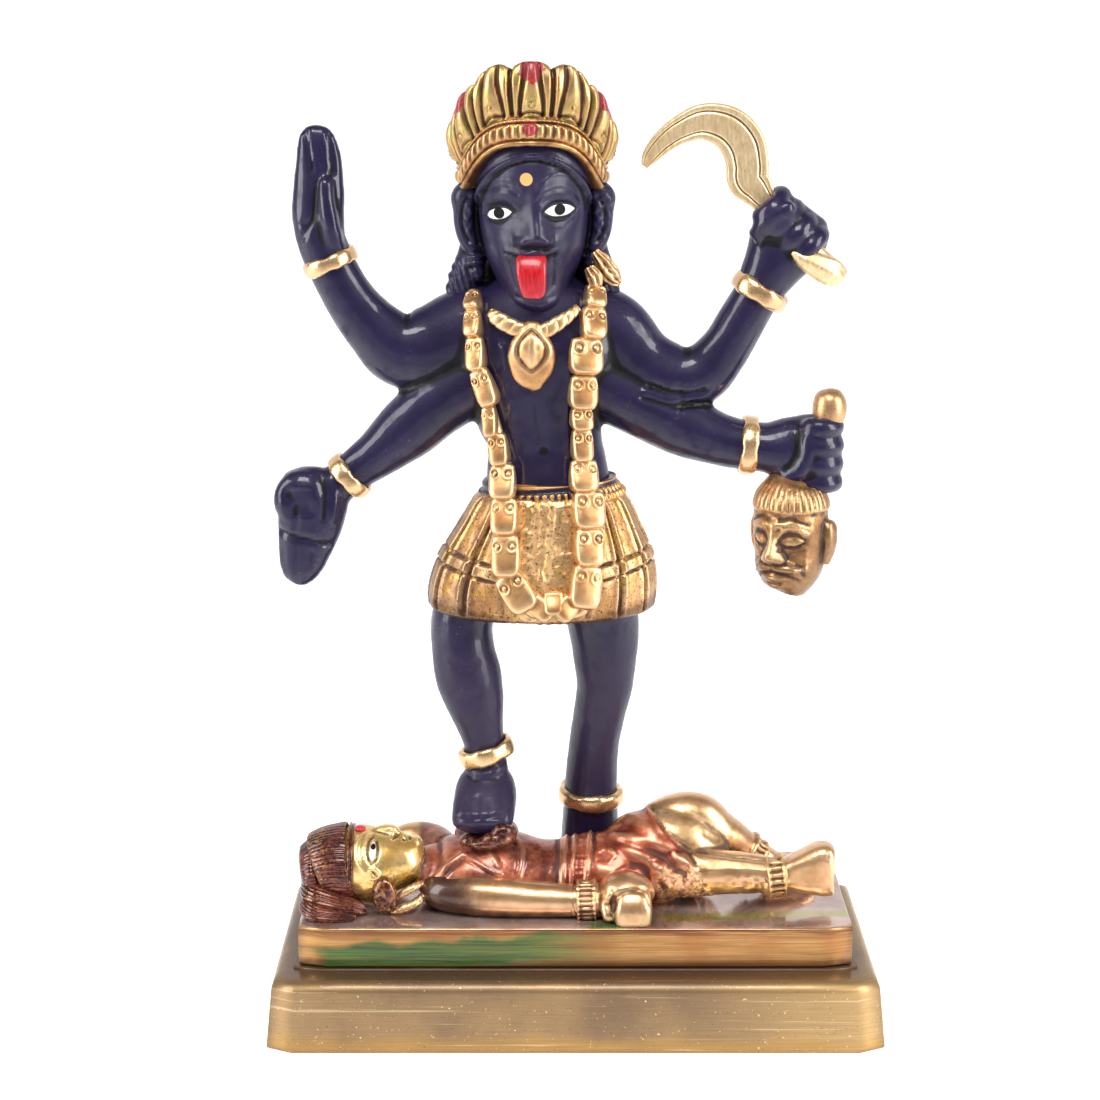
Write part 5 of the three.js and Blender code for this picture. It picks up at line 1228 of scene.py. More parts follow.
def sickle():
    """Sickle: a flat plate of even thickness with rounded edges whose section is carried along the blade's
    middle line, two engraved lines along its face, the handle, and its pommel, a tear drop with flat sides."""
    stops = np.array(SICKLE_STOPS)
    share = np.linspace(0, 1, 150)
    middle, slope = along_curve(stops[:, :2], share)
    half = along_curve(np.stack([np.arange(len(stops)), stops[:, 2]], 1), share)[0][:, 1]
    way = slope / np.linalg.norm(slope, axis=1, keepdims=True)
    side = np.stack([way[:, 1], -way[:, 0]], 1)
    flat = np.linspace(-1, 1, 40)
    edge = SICKLE_THICK / 2 * (1 - np.abs(flat) ** 24) ** 0.5
    grooves = 0.34 * hill(np.abs(flat) - 0.56, 0.06)
    front = grooves - edge
    section = np.concatenate([np.stack([flat, front], 1), np.stack([flat[::-1], edge[::-1]], 1)[1:-1]])
    places = np.empty((len(share), len(section), 3))
    places[..., 0] = middle[:, :1] + side[:, :1] * half[:, None] * section[None, :, 0]
    places[..., 2] = middle[:, 1:] + side[:, 1:] * half[:, None] * section[None, :, 0]
    places[..., 1] = SICKLE_GRIP[1] + section[None, :, 1]
    blade = tube(places[:, ::-1])
    handle = limb([(*(SICKLE_GRIP + SICKLE_AXIS * far), radius)
                   for far, radius in ((-4.5, 1.7), (-2, 2), (7, 2), (11.5, 2.2))], 32, 40)
    pommel = limb([(43.4, -6.2, 137.8, 0.4), (46, -5.6, 136.4, 2), (50, -4.4, 134.4, 2.95), (52, -3.9, 133.5, 2.8),
                   (53.6, -3.5, 132.8, 1.9), (54.2, -3.4, 132.4, 0.9)], 48, 50, BACK,
                  lambda turn, along: 0.14 * np.cos(2 * np.pi * 6 * turn) * step(along, 0.1, 0.4))
    return joined([blade, handle, pommel])


# Reclining figure

# The way that its front and upper sides face; as the camera sees them, the cloth's edge over the thigh (height
# and place across) and both ends of the belt; and the share of its stated depth that each fold is cut to
SLANT = np.array([0, -0.8, 0.6])
CLOTH_EDGE = [(22.9, 15.6), (17.4, 19.1), (14.4, 22.6), (10.8, 24.7), (6.3, 27.6), (2.6, 29.8), (-4, 31.5)]
BELT_LEFT, BELT_RIGHT = -3.0, 3.4
FOLD_DEPTH = 0.55


def reclining_body():
    """Trunk, far arm, legs and cloth of the reclining figure, melted into one skin and carved: folds of the
    garment, three belt cords, rings and folds on the cloth, its rough hem, and toes."""
    trunk = limb([(-36, -7.5, 8, 3.6, 3.4), (-32, -7.2, 7.2, 5.6, 5), (-28, -6.8, 6.2, 9.2, 7),
                  (-20, -6.6, 6.4, 10.4, 8.6), (-13, -6.4, 6, 10, 8.6), (-7, -6.2, 5.6, 9, 7.2),
                  (-1, -6, 5.6, 8.8, 7.4), (5, -6, 6, 9.4, 8.2), (11, -6, 6.2, 9.6, 9),
                  (16, -6, 6, 8, 8)], 60, 90, UP)
    far_arm = limb([(-28, -1, 8.8, 4, 4), (-31, 3.5, 9.8, 3.6, 3.6), (-36, 6.4, 9.2, 3.2, 3.2),
                    (-42, 6.4, 6, 2.8, 2.8), (-47, 4.6, 3.4, 2.4, 2.4), (-49, 3.6, 2, 1.6, 1.6)], 28, 60, UP)
    cloth = limb([(8, -5.4, 5.6, 9.6, 8), (13, -4.6, 7.6, 9.8, 10), (18, -3.8, 9, 9, 10.6),
                  (22, -3.6, 9.4, 8.4, 10.4), (26, -4.2, 8, 7.6, 8.6), (29.4, -5.6, 5.8, 6, 6.2)], 60, 60, UP)
    thigh = limb([(12, -2.6, 9, 6, 6.4), (17, -2.2, 13, 6.2, 5.6), (22, -2, 15.6, 6.4, 5.2),
                  (26.4, -1.6, 15.8, 6, 5.2), (30, -1, 13.2, 5.2, 4.9), (34, 0.2, 10.6, 4.4, 4.3),
                  (38.4, 1.6, 7.4, 3.4, 3.3), (42, 2, 5.2, 3, 3)], 40, 90)
    near_leg = limb([(16, -9.6, 7.2, 5.2, 5.6), (24, -9.8, 7.4, 5, 5.4), (31, -10, 7.4, 4.6, 4.8),
                     (38, -10.4, 7.2, 4.1, 4.2), (43, -11, 7, 3.6, 3.7), (47, -11, 7.4, 3.5, 3.6)], 40, 60, UP)
    near_foot = limb([(44.4, -11, 7, 3.2, 3), (46.4, -11, 7.6, 3.6, 3.9), (49, -11, 8, 3.8, 4.9),
                      (51.6, -11, 8.4, 3.9, 5.7), (53.4, -11, 8.6, 3.8, 5.7), (54.2, -11, 8.7, 3.4, 5.3),
                      (54.5, -11, 8.7, 2.2, 3.6)], 48, 50, UP, square=3.2)
    far_foot = limb([(41, 2, 4.6, 3, 3.2), (45, 2.4, 4, 3.2, 3), (49, 2.6, 2.8, 3.2, 2.2),
                     (52, 2.6, 2, 2.2, 1.4)], 28, 40, UP)
    skin = fuse([trunk, far_arm, cloth, thigh, near_leg, near_foot, far_foot], 0.46, 2)
    # waves on the cloth, then the belt: three cords and a row of dots that lean a little
    x, z = seen(skin.points).T
    rim = within_line(CLOTH_EDGE, z, x)
    top = step(skin.points[:, 2], 3, 6)
    on_cloth = step(x, 3.6, 5) * (1 - step(rim, -1.2, -0.2))
    skin.press(on_cloth * top * 0.22 * np.cos(0.62 * x + 0.9 * z + 1.2 * np.sin(0.35 * x)))
    belt = step(x, BELT_LEFT - 0.4, BELT_LEFT) * (1 - step(x, BELT_RIGHT, BELT_RIGHT + 0.4))
    lean = x - 0.09 * (z - 6)
    cords = sum(hill(lean - middle, 0.42) for middle in (-2.7, -0.9, 2.3))
    dots = hill(lean - 0.7, 0.9) * np.abs(np.sin(2.1 * z)) * 0.5
    skin.press(belt * (0.2 + 0.55 * cords + 0.45 * dots))
    # folds of the garment, from the braze and the neckline down
    folds = [([(-21.3, 17.4), (-19.2, 15.2), (-17.2, 11.9), (-15.4, 8.5)], 0.34, -0.45),
             ([(-20.4, 17.4), (-18.3, 15.2), (-16.3, 12.2), (-15, 8.6)], 0.3, 0.45),
             ([(-19, 16.4), (-17.2, 13.8), (-15.9, 11), (-14.6, 8.6)], 0.34, -0.4),
             ([(-23.8, 13), (-21, 11.1), (-18.2, 9.3), (-15.6, 8.1)], 0.34, -0.45),
             ([(-23.4, 12), (-20.8, 10.3), (-18, 8.4), (-15.8, 7.4)], 0.32, 0.45),
             ([(-14.7, 16.6), (-12.6, 16.3), (-11.2, 14.1), (-11.1, 10.8), (-11.8, 7.8)], 0.4, -0.5),
             ([(-14.6, 15.6), (-13, 15.2), (-12.1, 13.6), (-12.1, 10.8), (-12.7, 8)], 0.35, 0.45),
             ([(-10.2, 14.1), (-10, 10.8), (-10.8, 7.8)], 0.35, 0.25),
             ([(-24, 12.6), (-27.3, 10), (-30.2, 6.3), (-32, 2.2)], 0.6, -0.6),
             ([(-24, 11.2), (-26.7, 8.8), (-29.4, 5), (-31, 1.2)], 0.5, 0.7),
             ([(-30.8, 14.1), (-29, 15.5), (-26.2, 16.6), (-21.3, 17.7)], 0.5, -0.3),
             ([(-24.6, 14.8), (-22, 14.6), (-20.2, 13)], 0.5, 0.25),
             ([(-3.6, 16.6), (-3.8, 12.2), (-4, 6.3)], 0.35, 0.5),
             ([(4, 18.5), (3.5, 13.7), (2.9, 6.5)], 0.35, 0.5),
             # cloth: the broad fold, its valleys, rings, and the edge over the thigh
             ([(8.3, 17), (12.5, 16.6), (16.3, 15.2), (21.2, 13), (24.8, 9.3)], 1, -0.55),
             ([(7, 15.8), (10.8, 15), (15.3, 13.4), (19.4, 11.2), (23.2, 7.4)], 0.8, 0.5),
             ([(3.8, 15.9), (8.3, 14.1), (11.8, 10.8)], 0.7, 0.35),
             ([(9, 8.9), (11.8, 10.2), (15, 9.9), (17.4, 7.8), (19.2, 3.3)], 0.6, 0.4),
             ([(5.8, 13.8), (4.6, 13.2), (4.5, 12)], 0.26, -0.4),
             ([(7.1, 13.9), (8.3, 12.6), (7.3, 11.1)], 0.26, -0.4),
             ([(17, 12.2), (18.8, 10.6), (17.1, 8.9), (15.3, 10.6), (17, 12.2)], 0.28, -0.42),
             ([(7.2, 18.7), (8.5, 18.5), (9.7, 19.2)], 0.28, -0.35),
             ([(across + 0.3, height) for height, across in CLOTH_EDGE[:4]], 0.45, 0.6),
             ([(across - 0.7, height) for height, across in CLOTH_EDGE[:5]], 0.5, -0.4),
             # thigh and legs
             ([(27.4, 17.2), (30.4, 15.4), (33.4, 13)], 0.8, 0.35),
             ([(25.8, 13.4), (30, 12.6), (35, 11.9), (40.1, 11.3)], 0.4, 0.6),
             ([(28.3, 9.3), (34, 9.6), (40.1, 9.2)], 0.5, -0.2),
             ([(51.6, 13.9), (52.1, 12.2)], 0.26, 0.35), ([(52.7, 14), (53.1, 12)], 0.26, 0.35),
             ([(50.4, 13.4), (51, 12)], 0.26, 0.3)]
    engrave(skin, [(spots, width, FOLD_DEPTH * depth) for spots, width, depth in folds], seen, SLANT)
    # the rough hem and shin, and what the finish is told: where cloth, garment and hem are
    x, z = seen(skin.points).T
    rim = within_line(CLOTH_EDGE, z, x)
    lace = step(x, 16.5, 18.5) * (1 - step(z, 8.6, 10.4)) * (1 - step(rim, -0.6, 0.2))
    rough = grain(skin.points, 1.1, 47) + 0.7 * grain(skin.points, 0.6, 48)
    skin.press(0.28 * lace * rough)
    shin = step(x, 31, 33) * (1 - step(x, 39, 40)) * (1 - step(z, 7, 8.4))
    skin.press(0.2 * shin * rough + 0.04 * grain(skin.points, 2.2, 11) + 0.03 * grain(skin.points, 0.9, 12))
    from_belt = step(x, BELT_LEFT - 0.2, BELT_LEFT + 0.1)
    skin.values["cloth"] = from_belt * (1 - step(rim, -0.3, 0.2))
    skin.values["garment"] = step(x, -33.5, -32) * (1 - from_belt)
    skin.values["hem"] = hill(rim + 1.2, 1.6) * (1 - step(z, 8.5, 11)) + 0.8 * lace
    return skin


def reclining_arm():
    """Near arm from the shoulder along the slab, its cuff of fine ribs between two rims, and the hand: a round
    back, the fingers folded down over the slab's edge in one block, and the thumb."""
    arm = limb([(-29.6, -10.4, 4, 4, 3.8), (-27, -12.8, 4.3, 5, 4.3), (-21, -15, 4.3, 4.6, 4.5),
                (-14, -16, 4, 4.1, 4.2), (-7, -16.4, 3.7, 3.7, 3.8), (0, -16.8, 3.6, 3.3, 3.4),
                (6, -17, 4, 3.2, 3.2)], 44, 80, UP)
    palm = limb([(9.4, -13.6, 4.6, 3.8, 4), (10, -15.4, 5.8, 3.8, 5.2), (10.8, -17.6, 6, 3.8, 5.6),
                 (11.3, -19.8, 5, 3.2, 5.5)], 40, 40, RIGHT)
    block = limb([(11.9, -17.6, 5.6, 2.4, 3.2), (12, -19.8, 5, 2.6, 3.8), (12, -21.4, 3.2, 2.2, 3.9),
                  (12, -22, 1, 1.6, 3.8), (12, -22.2, -0.2, 1, 3.6)], 40, 40, RIGHT, square=2.8)
    thumb = finger([(5.8, -17.6, 5.4), (6.4, -19.8, 3.4), (6.8, -21, 1.6)], 1.5, RIGHT)
    skin = fuse([arm, palm, block, thumb], 0.42, 4)
    engrave(skin, [([(8.5, 1.6), (9.2, 3.4), (10.8, 4.4), (13.4, 4.4), (15, 3.2), (15.6, 1.6)], 0.4, 0.16),
                   ([(7.9, 4.5), (8, 2.5), (8.2, 0.6)], 0.5, 0.3)], seen, SLANT)
    ribs = limb([(0.3, -16.8, 3.6, 3.2, 3.3), (0.5, -16.8, 3.6, 3.9, 4), (2.4, -16.9, 3.7, 3.9, 4),
                 (4.3, -17, 3.8, 3.9, 4), (4.5, -17, 3.8, 3.2, 3.3)], 160, 40, UP, ribbed(22, 0.2, 0.22, 0.4))
    roughen(skin, (0.04, 2.2, 49))
    return joined([skin, ribs])


def reclining_head():
    """Head of the reclining figure, face up and turned a little to the viewer: nose, lips, chin and ear are
    melted on, and brows, lids and the hairline are carved as seen from in front and above."""
    face = limb([(-51.5, -8, 8.4, 3, 3.4), (-50, -8, 8.6, 6.6, 6.6), (-46, -8, 8.8, 8.2, 8),
                 (-42, -8.2, 9, 8.2, 7.5), (-38, -8.4, 9.6, 6.8, 6.4), (-35, -8.6, 10.2, 5.4, 5),
                 (-33, -8.6, 10.8, 3.6, 3.9), (-31.8, -8.6, 11, 1.6, 2)], 60, 70, UP)
    nose = limb([(-43.4, -8.4, 15.6, 1, 0.9), (-40.4, -8.4, 16.1, 1.4, 1.3), (-38.6, -8.4, 16.1, 1.7, 1.3),
                 (-37.7, -8.4, 15.5, 1.3, 0.9)], 24, 30, UP)
    neck = limb([(-38, -8, 7.2, 4.2, 4.2), (-34, -7.6, 7.4, 4.4, 4.2), (-29, -7.2, 7, 6, 5)], 36, 30, UP)
    parts = [face, nose, neck, ball(-36.5, -8.6, 15.0, 0.65, 1.7, 0.9), ball(-35.6, -8.6, 14.7, 0.6, 1.5, 0.8),
             ball(-33.8, -8.6, 13.0, 1.7, 2.2, 2.0), ball(-41.9, -14.9, 7.4, 1.5, 1.0, 1.6)]
    skin = fuse(parts, 0.32, 2)
    # the near eye, as places across and up from its middle
    x, z = seen(skin.points).T
    across, tall = x + 42.4 - 0.1 * (z - 13.4), z - 13.4
    front = step(skin.normals() @ SLANT, 0.05, 0.4)
    eye = np.hypot(across / 0.7, tall / 2.2)
    skin.press(front * (0.22 * hill(eye, 0.8) - 0.22 * hill(eye - 1.4, 0.3)))
    engrave(skin, [([(-44.3, 17.4), (-45.6, 15.6), (-46, 13), (-45.2, 10.6), (-44.3, 8.6)], 0.4, -0.3),
                   ([(-43, 17), (-43.9, 15.8), (-44.5, 13.8), (-44.3, 11.5), (-43.4, 9.8)], 0.28, -0.25),
                   ([(-42.7, 16.6), (-43.4, 15.2), (-43.6, 13.3), (-43.3, 11.2)], 0.22, 0.3),
                   ([(-41.6, 15.6), (-41.3, 13.8), (-41.6, 11.8), (-42.4, 10.8)], 0.22, 0.3),
                   ([(-38.9, 17.9), (-37.8, 17.6), (-37.4, 16.8), (-38.2, 16.1)], 0.24, 0.3),
                   ([(-36.1, 17.6), (-36.2, 16.6), (-35.8, 15.8)], 0.22, 0.3),
                   ([(-34.9, 17.6), (-34.6, 16.2)], 0.3, 0.22),
                   ([(-43.2, 9.3), (-42.4, 9.6), (-41.3, 8.7), (-41.2, 7.8), (-42.6, 7.2)], 0.3, -0.3),
                   ([(-42.5, 8.7), (-42, 8)], 0.3, 0.4)], seen, SLANT)
    roughen(skin, (0.04, 1.2, 13))
    skin.values["across"], skin.values["tall"] = across, tall
    return skin


def reclining_hair():
    """Bound hair of the reclining figure: a low mass with fine lines, a double ridge where it meets the face, a
    bun at the far left behind a groove, two thick strands that fall on the slab, and the disc of its earring."""
    def lines(turn, share):
        return (0.07 * np.cos(2 * np.pi * 58 * turn + 6 * np.sin(5 * share))
                + 0.06 * np.cos(2 * np.pi * 17 * turn + 7 * share))

    mass = limb([(-57.9, -8, 6.7, 1.6, 1.4), (-57.7, -8, 6.7, 5, 4.4), (-57, -8, 6.8, 7, 6),
                 (-55.6, -8, 6.9, 7.8, 7), (-54.4, -8, 7, 7.6, 6.8), (-53.9, -8, 7.1, 7, 6.2),
                 (-53.4, -8, 7.3, 8.3, 7.8), (-51.2, -8, 8.3, 9, 8.2), (-48.8, -8, 8.6, 9, 8.6),
                 (-47.6, -8, 8.7, 8.8, 8.4), (-47.2, -8, 8.8, 8, 7.6)], 240, 76, UP, lines)
    rim = limb([(-47.8, -8, 8.8, 7.8, 7.6), (-47.6, -8, 8.8, 8.9, 8.6), (-47.1, -8, 8.8, 8.5, 8.2),
                (-46.7, -8, 8.8, 8.7, 8.4), (-46.4, -8, 8.8, 7.8, 7.5)], 120, 30, UP)
    relief = strands(19, 0.09, 5)
    upper = limb([(-57, -11.6, 4.9, 1, 1.4), (-55.6, -13.8, 4.5, 2.4, 2.4), (-53.6, -15.6, 3.8, 3, 2.4),
                  (-49.4, -16.2, 2.6, 2.8, 2), (-45.4, -16.2, 1.6, 1.8, 1.3),
                  (-43.8, -16.2, 1, 0.5, 0.4)], 120, 60, UP, relief)
    lower = limb([(-57, -14.4, 2.6, 0.9, 1.2), (-55.8, -16.8, 2, 2, 1.9), (-53.6, -18.6, 1.2, 2.3, 1.7),
                  (-49, -18.9, 0.6, 1.8, 1.3), (-45.8, -18.8, 0.2, 0.8, 0.6)], 120, 60, UP, relief)
    earring = ball(-39.9, -16.3, 4.4, 2.6, 1.5, 3.9, 30, 44)
    engrave(earring, [([(-40.6, 3.6)], 0.7, 0.35), ([(-38.9, 7.4), (-37.9, 4.6), (-38.9, 1.6)], 0.4, -0.3)])
    return joined([mass, rim, upper, lower, earring])


def hairline_mark():
    """Red mark on the hairline of the reclining figure, a flat lens."""
    return ball(-45.3, -9.6, 17.0, 1.2, 1.3, 0.6)


def reclining_trinkets():
    """Necklace and anklets of the reclining figure."""
    def twist(turn, share):
        return 0.1 * np.abs(np.sin(np.pi * (2 * turn + 8 * share)))
    loops = [limb([(-37.9, -14.2, 2.8, 0.5, 0.5), (-36.4, -14.8, 4.2, 0.8, 0.7), (-34.2, -14.4, 5.4, 0.9, 0.8),
                   (-32.4, -13.2, 5.8, 0.8, 0.7), (-31.4, -12, 6, 0.4, 0.4)], 28, 80, UP, twist),
             limb([(-38.6, -15.4, 0.4, 0.5, 0.5), (-36.4, -15.8, 1.3, 1, 0.9), (-33.8, -15.2, 2.2, 1, 0.9),
                   (-32, -13.9, 3.4, 0.9, 0.8), (-31.2, -12.4, 4.6, 0.4, 0.4)], 28, 80, UP, twist)]

    ribs = ribbed(16, 0.2, 0.2, 0.45)
    near = limb([(40.4, -11, 6.6, 3.4, 3.5), (40.6, -11, 6.6, 4.1, 4.2), (42.4, -11, 6.8, 3.9, 4),
                 (44.2, -11, 7, 3.9, 4), (44.4, -11, 7, 3.2, 3.3)], 130, 40, UP, ribs)
    far = limb([(36.6, 1.1, 8.7, 3.4, 3.4), (36.9, 1.15, 8.5, 4, 4), (38.2, 1.4, 7.4, 3.7, 3.7),
                (39.6, 1.75, 6.5, 3.5, 3.5), (39.8, 1.8, 6.3, 2.8, 2.8)], 130, 40, BACK, ribs)
    return joined([*loops, near, far])


def braze():
    """Blob of brazing metal between the left sole and the chest, and where it ran up the toes."""
    pad = limb([(-18.8, -3.8, CHEST_HEIGHT - 4, 6.4, 6.4), (-18.8, -3.8, CHEST_HEIGHT - 1, 6.9, 6.9),
                (-18.8, -3.8, CHEST_HEIGHT + 0.3, 6.5, 6.5),
                (-18.8, -3.8, CHEST_HEIGHT + PAD_RISE, 5.8, 5.8)], 48, 20)
    drop = ball(-17.0, -10.6, CHEST_HEIGHT - 0.5, 3.8, 2.6, 1.8)
    side = ball(-21.6, -9.6, CHEST_HEIGHT - 0.7, 3.0, 2.4, 1.6)
    risen = [ball(x, y, CHEST_HEIGHT + lift, *radii) for x, y, lift, *radii in (
        (-16.4, -13.2, 0.8, 3.4, 2.0, 1.7), (-15.2, -13.0, 2.6, 2.3, 1.7, 1.6),
        (-18.6, -13.4, -0.2, 3.6, 1.7, 1.3), (-13.6, -11.4, 1.4, 1.4, 2.2, 2.2))]
    shape = fuse([pad, drop, side, *risen], 0.35, 7)
    return roughen(shape, (0.06, 2.2, 14))


# Base

def block(width, depth, height, corner, top_edge, foot_edge, batter, seed, wave, around=150):
    """An oblong block on z = 0: a rounded rectangle carried up a profile of inset and height, whose lower and
    upper edges are quarter rounds, and over its top and bottom to their middles. Batter is how far the sides
    lean in. It is slightly uneven, by wave millimetres."""
    # columns, drawn together towards the four corners
    turn = np.linspace(0, 2 * np.pi, around, endpoint=False)
    turn = turn + 0.22 * np.sin(4 * turn + np.pi)
    quarter = np.linspace(0, np.pi / 2, 9)
    foot = [(foot_edge * (1 - np.sin(q)), foot_edge * (1 - np.cos(q))) for q in quarter]
    top = [(top_edge * (1 - np.cos(q)), height - top_edge * (1 - np.sin(q))) for q in quarter]
    wall = [(0, z) for z in np.linspace(foot_edge, height - top_edge, 16)[1:-1]]
    inner = np.linspace(0, 0.97, 14)
    half = min(width, depth) / 2
    levels = [(foot_edge + (half - foot_edge) * k, 0) for k in inner[::-1][:-1]] + foot + wall + top
    levels += [(top_edge + (half - top_edge) * k, height) for k in inner[1:]]
    inset, z = np.array(levels).T
    inset = inset + batter * np.clip(z / height, 0, 1)
    # the outline: an oblong whose corners are pulled in onto quarter circles
    x, y = width / 2, depth / 2
    soft = 1 / np.maximum(np.abs(np.cos(turn)) / x, np.abs(np.sin(turn)) / y)
    ox, oy = soft * np.cos(turn), soft * np.sin(turn)
    cx, cy = np.clip(ox, -x + corner, x - corner), np.clip(oy, -y + corner, y - corner)
    dx, dy = ox - cx, oy - cy
    gap = np.maximum(np.hypot(dx, dy), 1e-6)
    pull = np.where((dx != 0) & (dy != 0), np.minimum(corner / gap, 1), 1)
    ox, oy = cx + dx * pull, cy + dy * pull
    px = ox[None] * (1 - inset[:, None] / x)
    py = oy[None] * np.maximum(0, 1 - inset[:, None] / y)
    shape = tube(np.stack([px, py, z[:, None] + 0 * px], -1))
    move = wave * grain(shape.points, 9, seed) + 0.4 * wave * grain(shape.points, 2.5, seed + 1)
    return shape.press(np.where(shape.points[:, 2] > 0.3, np.minimum(move, 0), 0))


def slab():
    """The slab under the reclining figure."""
    return block(**SLAB, seed=21, wave=0.12)


def plinth():
    """The plinth, with the low seat for the slab on its top."""
    lower = block(**PLINTH, seed=25, wave=0.1)
    seat = block(SLAB["width"] + 2 * SEAT_MARGIN, SLAB["depth"] + SEAT_MARGIN, SEAT_RISE + 1, 2.4, 0.3, 0.1, 0,
                 seed=27, wave=0.04).moved((0, 0, PLINTH["height"] - 1))
    return joined([lower, seat])


def tongue_paint():
    """Bright red gloss paint with faint brush streaks, pinker towards the tip."""
    f = Finish("red_gloss", Coat_Roughness=0.1, Coat_Weight=0.35)
    streak = f.noise(1.2, 3, 0.6, (2.2, 1, 0.35))
    f.base = f.mix(streak.step(0.3, 0.75), (148, 4, 16), (204, 18, 34))
    f.lay((1 - f.z.step(SLAB_TOP + 129, SLAB_TOP + 133)) * 0.35, (214, 48, 68))
    f.bump(streak, 0.25, 0.08)
    return f.paint(Roughness=0.3 + 0.15 * streak)


def crown_brass():
    """Antique brass with red caps on every other leaf, a red spot on the band, green and orange tints, a painted
    highlight on its ridges, and brown in its hollows, patina deepened as painted shade.
    """
    f = Finish("crown_brass", Coat_Roughness=0.1, Coat_Weight=0.35)
    hollow = f.value("hollow")
    turn, level = f.value("turn"), f.value("level")
    patch, fine, ragged = f.noise(0.2, 3), f.noise(1.6, 4), f.noise(0.7, 3)
    f.base = f.mix(patch.step(0.35, 0.65), (128, 82, 40), (184, 136, 76))
    leafy = level.step(4.6, 5.6)
    f.lay(f.noise(0.3, 3).step(0.46, 0.58) * leafy * 0.75, (150, 134, 30))
    f.lay(f.noise(0.42, 2).step(0.6, 0.68) * leafy * 0.7, (56, 112, 60))
    f.lay(f.noise(0.5, 2, 0.5, (1, 1, 1.3)).step(0.6, 0.7) * 0.5, (196, 96, 30))
    # painted highlight: the ridges lightened to pale gold
    f.lay((hollow * -1).step(0.15, 0.85) * 0.45, (240, 204, 144))
    # brown in the hollows: patina, deepened as painted shade
    patina_and_shade = (hollow + 0.8 * (fine - 0.42)).step(0.04, 0.72)
    f.lay(patina_and_shade * 0.92, (62, 28, 14))
    leaf = turn * (CROWN_LEAVES / (4 * np.pi)) + 0.5
    leaf = abs(leaf._math("FRACT", leaf) - 0.5)
    inside = ((level - 14.8) / 2.7) ** 2 + (leaf / 0.155) ** 2 + 2.4 * (ragged - 0.5)
    red = (1 - inside.step(0.7, 0.95)) * level.step(10.5, 11.5)
    spot = 1 - (((turn - np.pi + 0.02) * 15.4 / 1.7) ** 2 + ((level - 3.4) / 1.4) ** 2 + ragged - 0.5).step(0.8, 1.05)
    red = red.most(spot)
    f.lay(red * (0.95 - 0.25 * patina_and_shade), f.mix(fine.step(0.4, 0.7), (118, 4, 24), (178, 12, 42)))
    f.bump(f.noise(3.0, 3) * 0.4 + f.noise(0.8, 2) * 0.5, 0.35, 0.12)
    return f.paint(Roughness=0.3 + 0.14 * fine + 0.3 * patina_and_shade,
                   Metallic=(0.9 - 0.6 * patina_and_shade) * (1 - red))


def figure_lacquer(name="copper_lacquer", limbs=False):
    """Skin of the reclining figure: pale brass limbs, deep copper-brown garment and orange-brown cloth with a
    pale hem, a painted highlight on its ridges, brown in every hollow as patina deepened by painted shade,
    under gloss. Limbs is for the near arm, which is brown at its shoulder and along its underside, with a green
    painted reflection under the hand."""
    f = Finish(name, Coat_Roughness=0.06)
    hollow = f.value("hollow")
    patch, fine = f.noise(0.18, 3), f.noise(1.4, 4)
    f.base = f.mix(patch.step(0.3, 0.7), (190, 142, 94), (234, 194, 144))
    f.lay(f.noise(0.25, 2).step(0.55, 0.7) * 0.35, (160, 136, 56))
    f.lay(f.noise(0.4, 4, 0.6).step(0.58, 0.72) * 0.4, (108, 66, 32))
    dull = 0.0
    if limbs:
        f.lay(0.35, (150, 104, 62))
        shoulder = 1 - (f.x + 7 * (patch - 0.5) + 2 * (fine - 0.5)).step(-26, -16)
        f.lay(shoulder * 0.95, (50, 20, 14))
        under = 1 - (f.z + 2 * (patch - 0.5)).step(SLAB_TOP + 1.6, SLAB_TOP + 5.2)
        f.lay(under * 0.85 * (1 - f.x.step(8, 10)), (62, 30, 14))
        # painted reflection: green on the hand's underside, next to the slab
        green = f.noise(0.3, 3).step(0.46, 0.56) * f.x.step(5, 8) * (1 - f.z.step(SLAB_TOP + 1.5, SLAB_TOP + 5))
        f.lay(green * 0.8, (84, 116, 34))
        dull = shoulder * 0.55
    else:
        cloth, garment, hem = f.value("cloth"), f.value("garment"), f.value("hem")
        mottled = (patch * 0.8 + fine * 0.2).step(0.36, 0.64)
        f.lay(garment, f.mix(mottled, (90, 38, 28), (178, 98, 68)))
        f.lay(cloth, f.mix(mottled, (118, 48, 30), (180, 94, 62)))
        f.lay(hem.least(1.0) * fine.step(0.35, 0.6), (250, 206, 150))
        dull = garment * 0.35 + cloth * 0.25
    # painted highlight: the ridges lightened
    f.lay((hollow * -1).step(0.2, 0.9) * (0.5 - dull), (244, 196, 150))
    # brown in the hollows: patina, deepened as painted shade
    patina_and_shade = (hollow + 0.5 * (fine - 0.5)).step(0.08, 0.8)
    f.lay(patina_and_shade * 0.85, (54, 20, 12))
    f.bump(f.noise(2.6, 3) * 0.5 + f.noise(0.6, 3) * 0.9, 0.35, 0.12)
    return f.paint(Roughness=0.25 + 0.16 * fine + 0.2 * patina_and_shade, Metallic=0.88 - 0.4 * patina_and_shade - dull,
                   Coat_Weight=0.5 - 0.45 * patina_and_shade)


